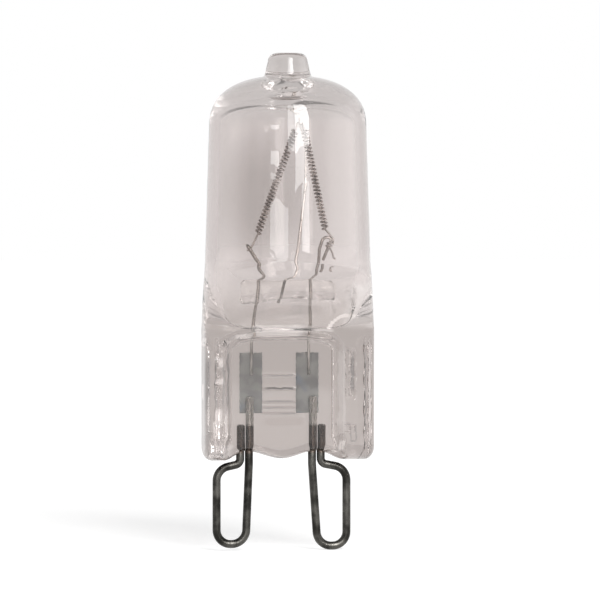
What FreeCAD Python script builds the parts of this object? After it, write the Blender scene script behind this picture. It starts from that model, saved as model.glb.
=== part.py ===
import FreeCAD
import Part
import math
import os

# Halogen capsule bulb with looped pins.
# Millimetres. Z is up, X runs across the flat seal and Y through it.
# The origin is on the bulb's axis, level with the lowest point of the contact loops.

Vector = FreeCAD.Vector
X_AXIS = Vector(1, 0, 0)
Y_AXIS = Vector(0, 1, 0)
Z_AXIS = Vector(0, 0, 1)
SIDES = {"left": -1, "right": 1}

# Quartz envelope, from the seal up
seal_bottom = 8.1
seal_height = 11.9
seal_width = 15.4
seal_depth = 5.2
seal_power = 5.0
shoulder_height = 6.0
tube_low_diameter = 14.84
tube_high_diameter = 14.1
tube_height = 12.0
tube_wall = 1.0
crown_height = 4.6
crown_wall = 1.75
crown_power = 2.4
tip_height = 2.0
tip_low_radius = 2.05
tip_high_radius = 1.79
tip_rounding = 0.75
tip_foot_rounding = 0.3
bore_radius = 0.85
bore_height = 1.6
bore_shift = 0.35
bore_mouth = 0.35

# Cavity floor between the tube and the seal
floor_half_width = 4.3
floor_half_depth = 0.45
floor_power = 3.0
cavity_rise = 5.5

# Pressed features of the seal
flange_width = {"left": 2.26, "right": 3.44}
web_thickness = 2.6
recess_side_slope = 0.41
recess_top_gap = 1.05
recess_top_slope = 0.85
recess_arch = 1.8
recess_margin = 0.6
recess_foot_flare = 0.5
recess_foot_height = 1.6
lobe_valley = 0.85
middle_lobe_gap = 0.15
lobe_corner_radius = 0.85
foot_rounding_height = 1.45
foot_flat_half = 0.3
pad_half_width = 1.9
pad_top = 4.0
pad_thickness = 0.18
pad_rounding = 0.9
ridge_heights = (0.06, 0.06, 0.08, 0.13, 0.08)
ridge_rises = (0.05, 0.5, 1.05, 2.2, 3.45)
ridge_half_length = 1.5
ridge_shift = 0.3
groove_inset = 0.8
groove_width = 0.35
groove_depth = 0.22
groove_length = 4.3
groove_top_gap = 2.0
dent_width = 0.45
dent_height = 1.3
dent_depth = 0.3
dent_gap = 2.7
mark_draft = 0.7

# Mount: the wires and foils stand about a line a little beside the bulb's axis
mount_shift = -0.55

# Contact loops and the ends of them that lie in the glass
loop_pitch = 9.0
loop_splay = 0.09
loop_width = 2.64
loop_wire_diameter = 0.74
loop_neck_radius = 0.55
loop_shoulder_radius = 1.3
loop_neck_drop = 0.3
loop_shoulder_drop = 0.45
inner_leg_offset = {"left": 2.98, "right": 2.76}
leg_gap = 0.06
outer_leg_depth = 3.25
loop_lift = {"left": 0.25, "right": 0.0}

# Foils and the flats where the wires are welded to them
foil_width = 2.05
foil_length = 5.5
foil_thickness = 0.05
foil_taper = 0.3
foil_margin = 4.25
foil_shift = {"left": 0.14, "right": -0.48}
leg_lap = 1.5
leg_flat = 0.12
lead_lap = 2.1
lead_flat = 0.04

# Quartz bridge across the cavity
bridge_diameter = 2.4
bridge_length = 9.2
bridge_rise = 3.3
bridge_rounding = 0.5

# Inner leads: their offsets from the middle of the mount, and heights from the bridge's axis
lead_diameter = 0.28
lead_bend_radius = 0.45
lead_foot = {"left": 2.8, "right": 2.4}
lead_bridge_offset = {"left": 2.42, "right": 2.7}
lead_straight = 1.4

# Left lead's clip
clip_foot_offset = 1.8
clip_foot_rise = 1.7
clip_top_offset = 3.1
clip_top_rise = 4.05
clip_return_share = 0.85
clip_grip_drop = 0.5

# Right lead's hook: offset from the mount, height above the bridge's axis, share of the lead's plane
hook_shape = ((3.4, 2.2, 1), (3.45, 3.7, 0), (3.8, 4.8, 0), (4.65, 4.75, 0), (3.78, 2.65, 0))

# Support wire
support_diameter = 0.28
support_bend_radius = 0.5
support_arm_bend = 0.16
support_foot = -0.94
support_lean = 0.57
support_stub = 0.35
support_setback = 0.62
support_arm = 0.35
support_step = 0.65
support_step_height = 1.1
support_coil_radius = 0.34
support_coil_pitch = 0.36
support_coil_turns = 4

# Filament
filament_wire_diameter = 0.17
coil_diameter = 0.7
coil_pitch = 0.32
coil_facets = 8
apex_offset = 1.1
apex_drop = 2.55
coil_top_gap = 0.6
coil_head_gap = 0.14
coil_foot_rise = {"left": 1.05, "right": 0.75}
coil_foot_offset = {"left": -2.72, "right": 3.44}
wire_touch_gap = 0.02
wrap_turns = 2
wrap_pitch = 0.3
wrap_drop = 0.45
free_tail_shape = ((0.14, 0.25), (0.24, 0.6), (0.29, 0.85), (0.5, 1.0))

# Levels that follow from the lengths above
seal_top = seal_bottom + seal_height
tube_bottom = seal_top + shoulder_height
crown_bottom = tube_bottom + tube_height
crown_top = crown_bottom + crown_height
tip_top = crown_top + tip_height
cavity_top = crown_top - crown_wall
bore_top = cavity_top + bore_height
cavity_bottom = seal_top
cavity_tube_bottom = cavity_bottom + cavity_rise
bridge_level = seal_top + bridge_rise
foil_bottom = seal_bottom + foil_margin
foil_top = foil_bottom + foil_length
apex_level = cavity_top - apex_drop

# Places that follow from the widths above
web_half = web_thickness / 2
seal_half_depth = seal_depth / 2
recess_half_width = (seal_width - flange_width["left"] - flange_width["right"]) / 2
recess_centre = (flange_width["left"] - flange_width["right"]) / 2

# Radii and planes shared by pieces that touch
tube_low_radius = tube_low_diameter / 2
tube_high_radius = tube_high_diameter / 2
loop_wire_radius = loop_wire_diameter / 2
lead_radius = lead_diameter / 2
support_radius = support_diameter / 2
filament_radius = filament_wire_diameter / 2
coil_radius = (coil_diameter - filament_wire_diameter) / 2
leg_spacing = loop_wire_diameter + leg_gap
foil_front = loop_wire_radius - leg_flat
lead_plane = foil_front + lead_flat - lead_radius
clip_leg_spacing = lead_diameter + filament_wire_diameter + 2 * wire_touch_gap

# Largest share of a straight run that one bend may take
run_share = 0.48

# Flat sides that stand for round surfaces, and the steps of curves
body_sides = 56
bore_sides = 20
bridge_sides = 24
loop_sides = 16
lead_sides = 8
support_sides = 6
filament_sides = 4
shoulder_steps = 6
crown_steps = 7
rounding_steps = 3
arch_steps = 12
lobe_steps = 26
foot_steps = 6
bend_step = math.radians(15)
flatness = 1e-6


def outline_face(points):
    return Part.Face(Part.makePolygon(points + points[:1]))


def prism(points, along):
    """Solid with a flat outline that is carried along a vector."""
    return outline_face(points).extrude(along)


def is_flat(patch):
    first, second, third, fourth = patch
    normal = (second - first).cross(third - first).normalize()
    return abs(normal.dot(fourth - first)) < flatness


def skin(rings):
    """Solid through closed rings with equally many points; its patches are flat."""
    faces = [outline_face(rings[0]), outline_face(rings[-1])]
    for low, high in zip(rings, rings[1:]):
        for i in range(len(low)):
            j = (i + 1) % len(low)
            patch = [low[i], low[j], high[j], high[i]]
            if is_flat(patch):
                faces.append(outline_face(patch))
            else:
                faces.append(outline_face(patch[:3]))
                faces.append(outline_face([low[i], high[j], high[i]]))
    solid = Part.makeSolid(Part.makeShell(faces))
    if solid.Volume < 0:
        solid.reverse()
    return solid


def rounded_ring(half_width, half_depth, power, level, sides=body_sides):
    """Level ring between an ellipse (power 2) and a rectangle (high power)."""
    ring = []
    for i in range(sides):
        angle = 2 * math.pi * i / sides
        across, through = math.cos(angle), math.sin(angle)
        size = (abs(across) ** power + abs(through) ** power) ** (-1 / power)
        ring.append(Vector(half_width * across * size, half_depth * through * size, level))
    return ring


def round_ring(radius, level, sides=body_sides):
    return rounded_ring(radius, radius, 2.0, level, sides)


def quarter_turn(start, end, steps=rounding_steps):
    """Cosine and sine of the angles from start to end, in degrees."""
    angles = [math.radians(between(start, end, i / steps)) for i in range(steps + 1)]
    return [(math.cos(angle), math.sin(angle)) for angle in angles]


def smooth_step(share):
    return share * share * (3 - 2 * share)


def between(low, high, share):
    return low + (high - low) * share


def crown_rings(radius, height, end_radius):
    """Dome over the tube, from just above its rim to where it has the end radius."""
    rings = []
    stop = math.acos((end_radius / radius) ** (crown_power / 2))
    for i in range(1, crown_steps + 1):
        angle = stop * i / crown_steps
        out = radius * math.cos(angle) ** (2 / crown_power)
        up = height * math.sin(angle) ** (2 / crown_power)
        rings.append(round_ring(out, crown_bottom + up))
    return rings


def outer_body():
    """Outside of the quartz, from below the seal's foot to the top of the sealed tip."""
    rings = [rounded_ring(seal_width / 2, seal_half_depth, seal_power, seal_bottom - 1)]
    for i in range(shoulder_steps + 1):
        share = i / shoulder_steps
        half_width = between(seal_width / 2, tube_low_radius, smooth_step(share))
        half_depth = between(seal_half_depth, tube_low_radius, smooth_step(share))
        power = between(seal_power, 2.0, share**0.5)
        rings.append(rounded_ring(half_width, half_depth, power, between(seal_top, tube_bottom, share)))
    rings.append(round_ring(tube_high_radius, crown_bottom))
    foot_radius = tip_low_radius + tip_foot_rounding
    rings += crown_rings(tube_high_radius, crown_height, foot_radius)
    foot_level = rings[-1][0].z + tip_foot_rounding
    for across, up in quarter_turn(225, 180, 1):
        out = foot_radius + tip_foot_rounding * across
        rings.append(round_ring(out, foot_level + tip_foot_rounding * up))
    for across, up in quarter_turn(0, 90):
        out = tip_high_radius - tip_rounding * (1 - across)
        rings.append(round_ring(out, tip_top - tip_rounding * (1 - up)))
    return skin(rings)


def ground_below(points, along):
    """Everything under a curved lower edge that is given by points, carried along a vector."""
    floor = seal_bottom - 2
    ends = [Vector(points[-1].x, points[-1].y, floor), Vector(points[0].x, points[0].y, floor)]
    solid = prism(points + ends, along)
    solid.translate(along * -0.5)
    return solid


def below_lobes():
    """What the seal's front view leaves out: two flange lobes, a middle lobe, valleys for the wires."""
    half = seal_width / 2
    points = []
    for across, up in quarter_turn(180, 270):
        out = lobe_corner_radius * (1 + across) - half
        points.append(Vector(out, 0, seal_bottom + lobe_corner_radius * (1 + up)))
    left_exit = mount_shift - inner_leg_offset["left"] - leg_spacing / 2
    right_exit = mount_shift + inner_leg_offset["right"] + leg_spacing / 2
    waves = [points.pop()]
    waves.append(Vector((left_exit - half) / 2, 0, seal_bottom))
    waves.append(Vector(left_exit, 0, seal_bottom + lobe_valley))
    waves.append(Vector(mount_shift, 0, seal_bottom + middle_lobe_gap))
    waves.append(Vector(right_exit, 0, seal_bottom + lobe_valley))
    waves.append(Vector((right_exit + half) / 2, 0, seal_bottom))
    corner = [Vector(-p.x, 0, p.z) for p in reversed(points)]
    waves.append(Vector(half - lobe_corner_radius, 0, seal_bottom))
    curve = Part.BSplineCurve()
    curve.interpolate(Points=waves)
    outline = points + curve.discretize(Number=lobe_steps) + corner
    outline = [outline[0] - X_AXIS] + outline + [outline[-1] + X_AXIS]
    return ground_below(outline, Y_AXIS * (seal_depth + 2))


def below_rounding():
    """What the seal's side view leaves out: its lower edge is rounded from front to back."""
    width = seal_half_depth - foot_flat_half
    front = []
    for across, up in quarter_turn(180, 270, foot_steps):
        out = width * (1 + across) - seal_half_depth
        front.append(Vector(0, out, seal_bottom + foot_rounding_height * (1 + up)))
    back = [Vector(0, -p.y, p.z) for p in reversed(front)]
    outline = [front[0] - Y_AXIS] + front + back + [back[-1] + Y_AXIS]
    return ground_below(outline, X_AXIS * (seal_width + 2))


def recess_ring(depth, grow):
    """Outline of a flange-to-flange recess at a depth from the seal's middle plane."""
    half = recess_half_width + recess_side_slope * grow
    foot = half + recess_foot_flare
    top = seal_top - recess_top_gap + recess_top_slope * grow
    bottom = seal_bottom - 1
    bend = seal_bottom + recess_foot_height
    ring = [Vector(recess_centre + foot, depth, bottom), Vector(recess_centre + half, depth, bend)]
    for i in range(arch_steps + 1):
        across = math.cos(math.pi * i / arch_steps)
        drop = recess_arch * (1 - (1 - across**4) ** 0.5)
        ring.append(Vector(recess_centre + half * across, depth, top - drop))
    ring += [Vector(recess_centre - half, depth, bend), Vector(recess_centre - foot, depth, bottom)]
    return ring


def pad_outline():
    """Raised pad low on the web, with rounded upper corners."""
    level = -web_half - pad_thickness
    right = [Vector(mount_shift + pad_half_width, level, seal_bottom - 2)]
    for across, up in quarter_turn(0, 90):
        out = pad_half_width - pad_rounding * (1 - across)
        right.append(Vector(mount_shift + out, level, seal_bottom + pad_top - pad_rounding * (1 - up)))
    return right + [Vector(2 * mount_shift - p.x, p.y, p.z) for p in reversed(right)]


def pressed_recess():
    """Recess between the flanges on one face, less the pad and the jaw's ridges that stand in it."""
    slope_depth = seal_half_depth - web_half
    reach = (slope_depth + recess_margin) / slope_depth
    hollow = skin([recess_ring(-web_half, 0.0), recess_ring(-seal_half_depth - recess_margin, reach)])
    hollow = hollow.cut(prism(pad_outline(), Y_AXIS * (2 * pad_thickness)))
    for height, rise in zip(ridge_heights, ridge_rises):
        level = foil_bottom + rise
        left = mount_shift - ridge_shift - ridge_half_length
        outline = [
            Vector(left, -web_half - height, level),
            Vector(left, -web_half + height, level + 2 * height),
            Vector(left, -web_half + height, level - 2 * height),
        ]
        hollow = hollow.cut(prism(outline, X_AXIS * (2 * ridge_half_length)))
    return hollow


def flange_marks(side):
    """Groove and square dent pressed into one flange's front face, narrower at their floors."""
    place = recess_centre + side * (recess_half_width + recess_side_slope + groove_inset)
    share = abs(place) / (seal_width / 2)
    face = -seal_half_depth * (1 - share**seal_power) ** (1 / seal_power)
    groove_bottom = seal_top - groove_top_gap - groove_length
    marks = []
    for width, depth, bottom, height in (
        (groove_width, groove_depth, groove_bottom, groove_length),
        (dent_width, dent_depth, groove_bottom - dent_gap - dent_height, dent_height),
    ):
        half = width / 2
        outline = [
            Vector(place - mark_draft * half, face + depth, bottom),
            Vector(place + mark_draft * half, face + depth, bottom),
            Vector(place + (2 - mark_draft) * half, face - depth, bottom),
            Vector(place - (2 - mark_draft) * half, face - depth, bottom),
        ]
        marks.append(prism(outline, Z_AXIS * height))
    return marks


def cavity():
    """Sealed space inside: a wedge above the seal, the round tube and the crown."""
    tube_share = (tube_high_radius - tube_low_radius) / tube_height
    neck_radius = tube_low_radius + tube_share * (cavity_tube_bottom - tube_bottom) - tube_wall
    high_radius = tube_high_radius - tube_wall
    rings = []
    for i in range(shoulder_steps + 1):
        share = i / shoulder_steps
        fullness = (1 - (1 - share) ** 3) ** 0.6
        half_width = between(floor_half_width, neck_radius, fullness)
        half_depth = between(floor_half_depth, neck_radius, smooth_step(share))
        power = between(floor_power, 2.0, share)
        level = between(cavity_bottom, cavity_tube_bottom, share)
        rings.append(rounded_ring(half_width, half_depth, power, level))
    rings.append(round_ring(high_radius, crown_bottom))
    rings += crown_rings(high_radius, cavity_top - crown_bottom, bore_radius + bore_mouth)
    return skin(rings)


def tip_bore():
    """Narrow bore that runs up from the cavity into the sealed tip, round at its end."""
    rings = [round_ring(bore_radius, cavity_top - crown_wall / 2, bore_sides)]
    end = bore_radius / 2
    for across, up in quarter_turn(0, 90):
        rings.append(round_ring(bore_radius - end * (1 - across), bore_top - end * (1 - up), bore_sides))
    bore = skin(rings)
    bore.translate(X_AXIS * bore_shift)
    return bore


def envelope(embedded):
    """Quartz body with its seal, and exact pockets for the metal that is set in it."""
    body = outer_body().cut(below_lobes()).cut(below_rounding())
    recess = pressed_recess()
    tools = [recess] + flange_marks(SIDES["left"]) + flange_marks(SIDES["right"])
    for tool in tools:
        body = body.cut(tool).cut(tool.mirror(Vector(0, 0, 0), Y_AXIS))
    body = body.cut(cavity()).cut(tip_bore())
    for metal in embedded:
        body = body.cut(metal)
    return body


def directed(points):
    """Each point with the direction from the one before it to the one after."""
    before = points[:1] + points
    after = points[1:] + points[-1:]
    return [(point, (end - start).normalize()) for start, point, end in zip(before, points, after)]


def bent_path(points, bend_radii):
    """Straight runs joined by tangent arcs, each as large as asked or as its two runs allow."""
    stations = [(points[0], (points[1] - points[0]).normalize())]
    for before, corner, after, bend_radius in zip(points, points[1:], points[2:], bend_radii):
        room = run_share * min((corner - before).Length, (after - corner).Length)
        heading = (corner - before).normalize()
        ahead = (after - corner).normalize()
        turn = heading.getAngle(ahead)
        if turn < flatness:
            continue
        reach = min(bend_radius * math.tan(turn / 2), room)
        radius = reach / math.tan(turn / 2)
        inward = (ahead - heading * math.cos(turn)).normalize()
        centre = corner - heading * reach + inward * radius
        steps = math.ceil(turn / bend_step)
        for i in range(steps + 1):
            across, along = math.cos(turn * i / steps), math.sin(turn * i / steps)
            place = centre + (heading * along - inward * across) * radius
            stations.append((place, heading * across + inward * along))
    stations.append((points[-1], (points[-1] - points[-2]).normalize()))
    return stations


def wire_along(stations, radius, sides):
    """Solid wire with a flat-sided section, carried along its stations without a twist."""
    rings = []
    normal = Y_AXIS
    for place, along in stations:
        normal = (normal - along * normal.dot(along)).normalize()
        beside = along.cross(normal)
        ring = []
        for i in range(sides):
            angle = 2 * math.pi * i / sides
            ring.append(place + normal * (radius * math.cos(angle)) + beside * (radius * math.sin(angle)))
        rings.append(ring)
    return skin(rings)


def coil_points(start, end, radius, pitch, out, first_angle=0.0):
    """Points of a whole number of turns about the line from start to end; out is the side of angle zero."""
    along = end - start
    turns = max(round(along.Length / pitch), 1)
    step = along / (turns * coil_facets)
    along.normalize()
    out = (out - along * out.dot(along)).normalize()
    beside = along.cross(out)
    points = []
    for i in range(turns * coil_facets + 1):
        angle = first_angle + 2 * math.pi * i / coil_facets
        points.append(start + step * i + out * (radius * math.cos(angle)) + beside * (radius * math.sin(angle)))
    return points


def weld_block(name, side):
    """Space behind a foil's front face, which flattens the wires welded to that face."""
    place = mount_shift + side * inner_leg_offset[name]
    corner = Vector(place - foil_width, foil_front, foil_bottom)
    return Part.makeBox(2 * foil_width, web_half, foil_length, corner)


def foil(name, side):
    """Thin foil with edges that taper to nothing, as etched sealing foil has."""
    centre = mount_shift + side * inner_leg_offset[name] + foil_shift[name]
    half = foil_width / 2
    middle = foil_front + foil_thickness / 2
    back = foil_front + foil_thickness
    section = [
        Vector(centre - half, middle, foil_bottom),
        Vector(centre - half + foil_taper, foil_front, foil_bottom),
        Vector(centre + half - foil_taper, foil_front, foil_bottom),
        Vector(centre + half, middle, foil_bottom),
        Vector(centre + half - foil_taper, back, foil_bottom),
        Vector(centre - half + foil_taper, back, foil_bottom),
    ]
    return prism(section, Z_AXIS * foil_length)


def contact_loop(name, side):
    """One wire: down from the foil, round the loop that plugs in, and back up into the glass."""
    half = loop_width / 2
    low = loop_wire_radius + loop_lift[name]
    centre = loop_pitch / 2 + loop_splay
    neck = seal_bottom - loop_neck_drop
    inner = inner_leg_offset[name]
    outline = [
        (inner, foil_bottom + leg_lap),
        (inner, neck),
        (centre - half, low),
        (centre + half, low),
        (centre + half, neck - loop_shoulder_drop),
        (inner + leg_spacing, neck),
        (inner + leg_spacing, seal_bottom + outer_leg_depth),
    ]
    points = [Vector(mount_shift + side * out, 0, up) for out, up in outline]
    bends = [loop_neck_radius, half, half, loop_shoulder_radius, loop_neck_radius]
    loop = wire_along(bent_path(points, bends), loop_wire_radius, loop_sides)
    return loop.cut(weld_block(name, side))


def lead_below_top(name, side):
    """Points of a lead from its weld on the foil to where it leaves the bridge."""
    foot = mount_shift + side * lead_foot[name]
    through = mount_shift + side * lead_bridge_offset[name]
    half_bridge = bridge_diameter / 2
    return [
        Vector(foot, lead_plane, foil_top - lead_lap),
        Vector(foot, lead_plane, foil_top + lead_straight),
        Vector(through, lead_plane, bridge_level - half_bridge),
        Vector(through, lead_plane, bridge_level + half_bridge),
    ]


def clip_corners():
    """Left lead's narrow clip: its foot, the two corners of its bend and the end of its return leg."""
    half_gap = clip_leg_spacing / 2
    foot = Vector(mount_shift - clip_foot_offset, 0, bridge_level + clip_foot_rise)
    top = Vector(mount_shift - clip_top_offset, 0, bridge_level + clip_top_rise)
    end = top + (foot - top) * clip_return_share
    back = Y_AXIS * half_gap
    return [foot - back, top - back, top + back, end + back]


def hook_corners():
    """Right lead's open hook: knee, bend and the end of its return leg."""
    return [
        Vector(mount_shift + out, lead_plane * share, bridge_level + up) for out, up, share in hook_shape
    ]


def inner_lead(name, side):
    """Lead wire from the foil through the bridge to the clip or hook that holds the filament."""
    top = clip_corners() if name == "left" else hook_corners()
    points = lead_below_top(name, side) + top
    bends = [lead_bend_radius] * (len(points) - 2)
    if name == "left":
        bends[-2:] = [clip_leg_spacing / 2, clip_leg_spacing / 2]
    lead = wire_along(bent_path(points, bends), lead_radius, lead_sides)
    return lead.cut(weld_block(name, side))


def support_wire():
    """Wire from the bridge to the filament's apex, ending in a small coil in the tip's bore."""
    low = bridge_level - bridge_diameter / 2
    high = bridge_level + bridge_diameter / 2
    arm_back = Vector(apex_offset, support_setback, apex_level)
    arm_front = Vector(apex_offset, -support_arm, apex_level)
    rise = Vector(apex_offset + support_step, support_setback, apex_level - support_step_height)
    points = [
        Vector(support_foot, 0, low - support_stub),
        Vector(support_foot + support_lean, 0, high + 0.1),
        Vector(support_foot + support_lean + 0.9, 0, high + 0.5),
        Vector(support_foot + support_lean + 1.35, support_setback / 3, high + 2.5),
        Vector(rise.x, support_setback, between(high, rise.z, 0.65)),
        rise,
        arm_back,
        arm_front,
        Vector(apex_offset, -support_arm, apex_level + 1.0),
    ]
    coil_start = Vector(bore_shift, 0, cavity_top - 0.1)
    coil_end = coil_start + Z_AXIS * (support_coil_turns * support_coil_pitch)
    coil = coil_points(coil_start, coil_end, support_coil_radius, support_coil_pitch, Y_AXIS * -1)
    points.append(coil[0] - (coil[1] - coil[0]) * 0.5 - Z_AXIS * 0.1)
    bends = [support_bend_radius] * 4 + [support_arm_bend] * 4
    return wire_along(bent_path(points, bends) + directed(coil), support_radius, support_sides)


def filament():
    """One tungsten wire: plain tail, coiled leg, plain apex over the support's arm, coiled leg, plain tail."""
    touch = filament_radius + wire_touch_gap
    seat = support_radius + touch
    head_level = apex_level - coil_top_gap
    head_spread = coil_diameter / 2 + coil_head_gap / 2

    clip = clip_corners()
    clip_top = (clip[1] + clip[2]) / 2
    clip_foot = (clip[0] + clip[3]) / 2
    clip_foot.y = 0
    grip = clip_top + (clip_foot - clip_top).normalize() * clip_grip_drop
    left_foot = Vector(coil_foot_offset["left"], 0, clip_top.z + coil_foot_rise["left"])
    left_head = Vector(apex_offset - head_spread, 0, head_level)
    left_coil = coil_points(left_foot, left_head, coil_radius, coil_pitch, X_AXIS, -math.pi / 2)
    left_tail = [grip - X_AXIS * 0.3 - Z_AXIS * 0.1, grip]
    left_tail += [left_coil[0] - (left_coil[1] - left_coil[0]) * 1.5 - Z_AXIS * 0.2]

    apex = []
    for angle in (150, 120, 90, 60, 30):
        turn = math.radians(angle)
        apex.append(Vector(apex_offset + seat * math.cos(turn), 0, apex_level + seat * math.sin(turn)))

    hook = hook_corners()
    right_foot = Vector(coil_foot_offset["right"], 0, hook[-2].z + coil_foot_rise["right"])
    right_head = Vector(apex_offset + head_spread, 0, head_level)
    right_coil = coil_points(right_head, right_foot, coil_radius, coil_pitch, X_AXIS, -math.pi / 2)
    hook_leg = (hook[-1] - hook[-2]).normalize()
    wrap_start = hook[-2] + hook_leg * wrap_drop
    wrap_end = wrap_start + hook_leg * (wrap_turns * wrap_pitch)
    wrap = coil_points(wrap_start, wrap_end, lead_radius + touch, wrap_pitch, X_AXIS)
    right_tail = [right_coil[-1] + (right_coil[-1] - right_coil[-2]) * 1.5 - Z_AXIS * 0.05]
    right_tail += [wrap[0] + Vector(0.05, -0.08, 0.35)]
    free_end = [wrap[-1] + Vector(out, 0.05, -down) for out, down in free_tail_shape]
    path = left_tail + left_coil + apex + right_coil + right_tail + wrap + free_end
    return wire_along(directed(path), filament_radius, filament_sides)


def bridge(wires):
    """Quartz rod across the cavity, with the wires sealed through it."""
    rings = []
    for side, turns in ((-1, quarter_turn(90, 0)), (1, quarter_turn(0, 90))):
        for across, up in turns:
            out = bridge_diameter / 2 - bridge_rounding * (1 - across)
            place = side * (bridge_length / 2 - bridge_rounding * (1 - up))
            ring = round_ring(out, 0, bridge_sides)
            rings.append([Vector(place, p.x, bridge_level + p.y) for p in ring])
    rod = skin(rings)
    for wire in wires:
        rod = rod.cut(wire)
    return rod


def main():
    shapes = {}
    for name, side in SIDES.items():
        shapes["foil_" + name] = foil(name, side)
        shapes["contact_loop_" + name] = contact_loop(name, side)
        shapes["inner_lead_" + name] = inner_lead(name, side)
    embedded = list(shapes.values())
    shapes["support_wire"] = support_wire()
    shapes["filament"] = filament()
    through_bridge = [shapes["inner_lead_left"], shapes["inner_lead_right"], shapes["support_wire"]]
    shapes["quartz_bridge"] = bridge(through_bridge)
    shapes["quartz_envelope"] = envelope(embedded)
    os.makedirs("parts", exist_ok=True)
    for name, shape in shapes.items():
        shape.exportStep("parts/" + name + ".step")
        print(name, "solids", len(shape.Solids), "valid", shape.isValid(), "volume", round(shape.Volume, 3))


main()
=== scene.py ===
"""Halogen capsule bulb with looped pins: quartz envelope, pressed seal, mount wires and filament."""
import logging
import math
from collections.abc import Callable, Sequence
from dataclasses import dataclass
from enum import Enum
from functools import cache

import bmesh
import bpy
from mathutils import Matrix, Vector


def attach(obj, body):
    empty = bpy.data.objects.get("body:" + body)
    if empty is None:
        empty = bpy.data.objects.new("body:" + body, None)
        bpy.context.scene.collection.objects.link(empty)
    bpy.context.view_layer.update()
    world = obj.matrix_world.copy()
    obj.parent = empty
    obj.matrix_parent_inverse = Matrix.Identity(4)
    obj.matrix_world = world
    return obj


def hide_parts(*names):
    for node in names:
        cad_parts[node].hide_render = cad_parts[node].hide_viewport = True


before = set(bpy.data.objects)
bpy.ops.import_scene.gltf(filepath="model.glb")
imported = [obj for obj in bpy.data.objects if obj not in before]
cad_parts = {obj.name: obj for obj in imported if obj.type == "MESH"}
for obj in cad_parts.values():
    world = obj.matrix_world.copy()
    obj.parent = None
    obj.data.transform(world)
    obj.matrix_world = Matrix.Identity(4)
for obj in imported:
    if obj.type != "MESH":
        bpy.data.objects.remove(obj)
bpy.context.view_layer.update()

log = logging.getLogger("capsule_bulb")

MILLIMETRE = 0.001
BODY = "root"
X_AXIS = Vector((1.0, 0.0, 0.0))
Y_AXIS = Vector((0.0, 1.0, 0.0))
Z_AXIS = Vector((0.0, 0.0, 1.0))
Station = tuple[Vector, Vector]
Colour = tuple[float, float, float, float]
Ring = Callable[[float], Vector]
WHITE: Colour = (1.0, 1.0, 1.0, 1.0)


class Side(Enum):
    """Side of the mount that a piece is on."""

    LEFT = -1
    RIGHT = 1

    @property
    def word(self) -> str:
        """Name of the side in a node's name."""
        return self.name.lower()


def between(low: float, high: float, share: float) -> float:
    """Value at a share of the way from low to high."""
    return low + (high - low) * share


def smooth_step(share: float) -> float:
    """Share eased at both ends and held between 0 and 1."""
    held = min(max(share, 0.0), 1.0)
    return held * held * (3.0 - 2.0 * held)


def plateau(distance: float, half: float, fade: float) -> float:
    """Top of height 1 that eases to 0 at half a width from its middle."""
    return smooth_step((half - abs(distance)) / fade)


def shares(steps: int, first: int = 1) -> list[float]:
    """Even shares of the way, up to 1 after the given number of steps."""
    return [index / steps for index in range(first, steps + 1)]


def hump(distance: float, width: float) -> float:
    """Bell of height 1 that falls away over a width."""
    return math.exp(-((distance / width) ** 2))


def through_points(pairs: Sequence[tuple[float, float]], place: float) -> float:
    """Smooth height of a profile.

    Args:
        pairs: Places and heights, in order of place.
        place: Where the height is wanted.

    Returns:
        The height, eased from one pair to the next.
    """
    if place <= pairs[0][0]:
        return pairs[0][1]
    for (start, low), (end, high) in zip(pairs, pairs[1:]):
        if place <= end:
            return between(low, high, smooth_step((place - start) / (end - start)))
    return pairs[-1][1]


class GrownSkin:
    """Closed skin that starts as one ring of vertices and grows by extruding that ring."""

    def __init__(self, sides: int, mesh: bmesh.types.BMesh | None = None) -> None:
        """Start the first ring.

        Args:
            sides: Vertices in each ring.
            mesh: Mesh that the skin joins, or None for one of its own.
        """
        self.mesh = mesh or bmesh.new()
        layers = self.mesh.verts.layers.float
        self.turn = layers.get("turn") or layers.new("turn")
        made = bmesh.ops.create_circle(self.mesh, cap_ends=False, radius=1.0, segments=sides)
        self.ring = list(made["verts"])
        for index, vert in enumerate(self.ring):
            vert[self.turn] = index / sides
        self.edges = list(dict.fromkeys(edge for vert in self.ring for edge in vert.link_edges))
        self.first_edges = list(self.edges)

    def place(self, where: Ring) -> None:
        """Move the open ring to where a function of its turn puts it."""
        for vert in self.ring:
            vert.co = where(vert[self.turn])

    def grow(self, where: Ring) -> None:
        """Extrude the open ring and place the new one.

        Args:
            where: Function from turn to place for the new ring.
        """
        made = bmesh.ops.extrude_edge_only(self.mesh, edges=self.edges)["geom"]
        self.ring = [part for part in made if isinstance(part, bmesh.types.BMVert)]
        fresh = set(self.ring)
        edges = [part for part in made if isinstance(part, bmesh.types.BMEdge)]
        self.edges = [edge for edge in edges if fresh.issuperset(edge.verts)]
        self.place(where)

    def gather(self) -> None:
        """Close the open ring in one point at its middle."""
        middle = sum((vert.co for vert in self.ring), Vector()) / len(self.ring)
        bmesh.ops.pointmerge(self.mesh, verts=self.ring, merge_co=middle)

    def cap(self, edges: list[bmesh.types.BMEdge]) -> None:
        """Close a ring with one flat face."""
        bmesh.ops.contextual_create(self.mesh, geom=edges)


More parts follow.
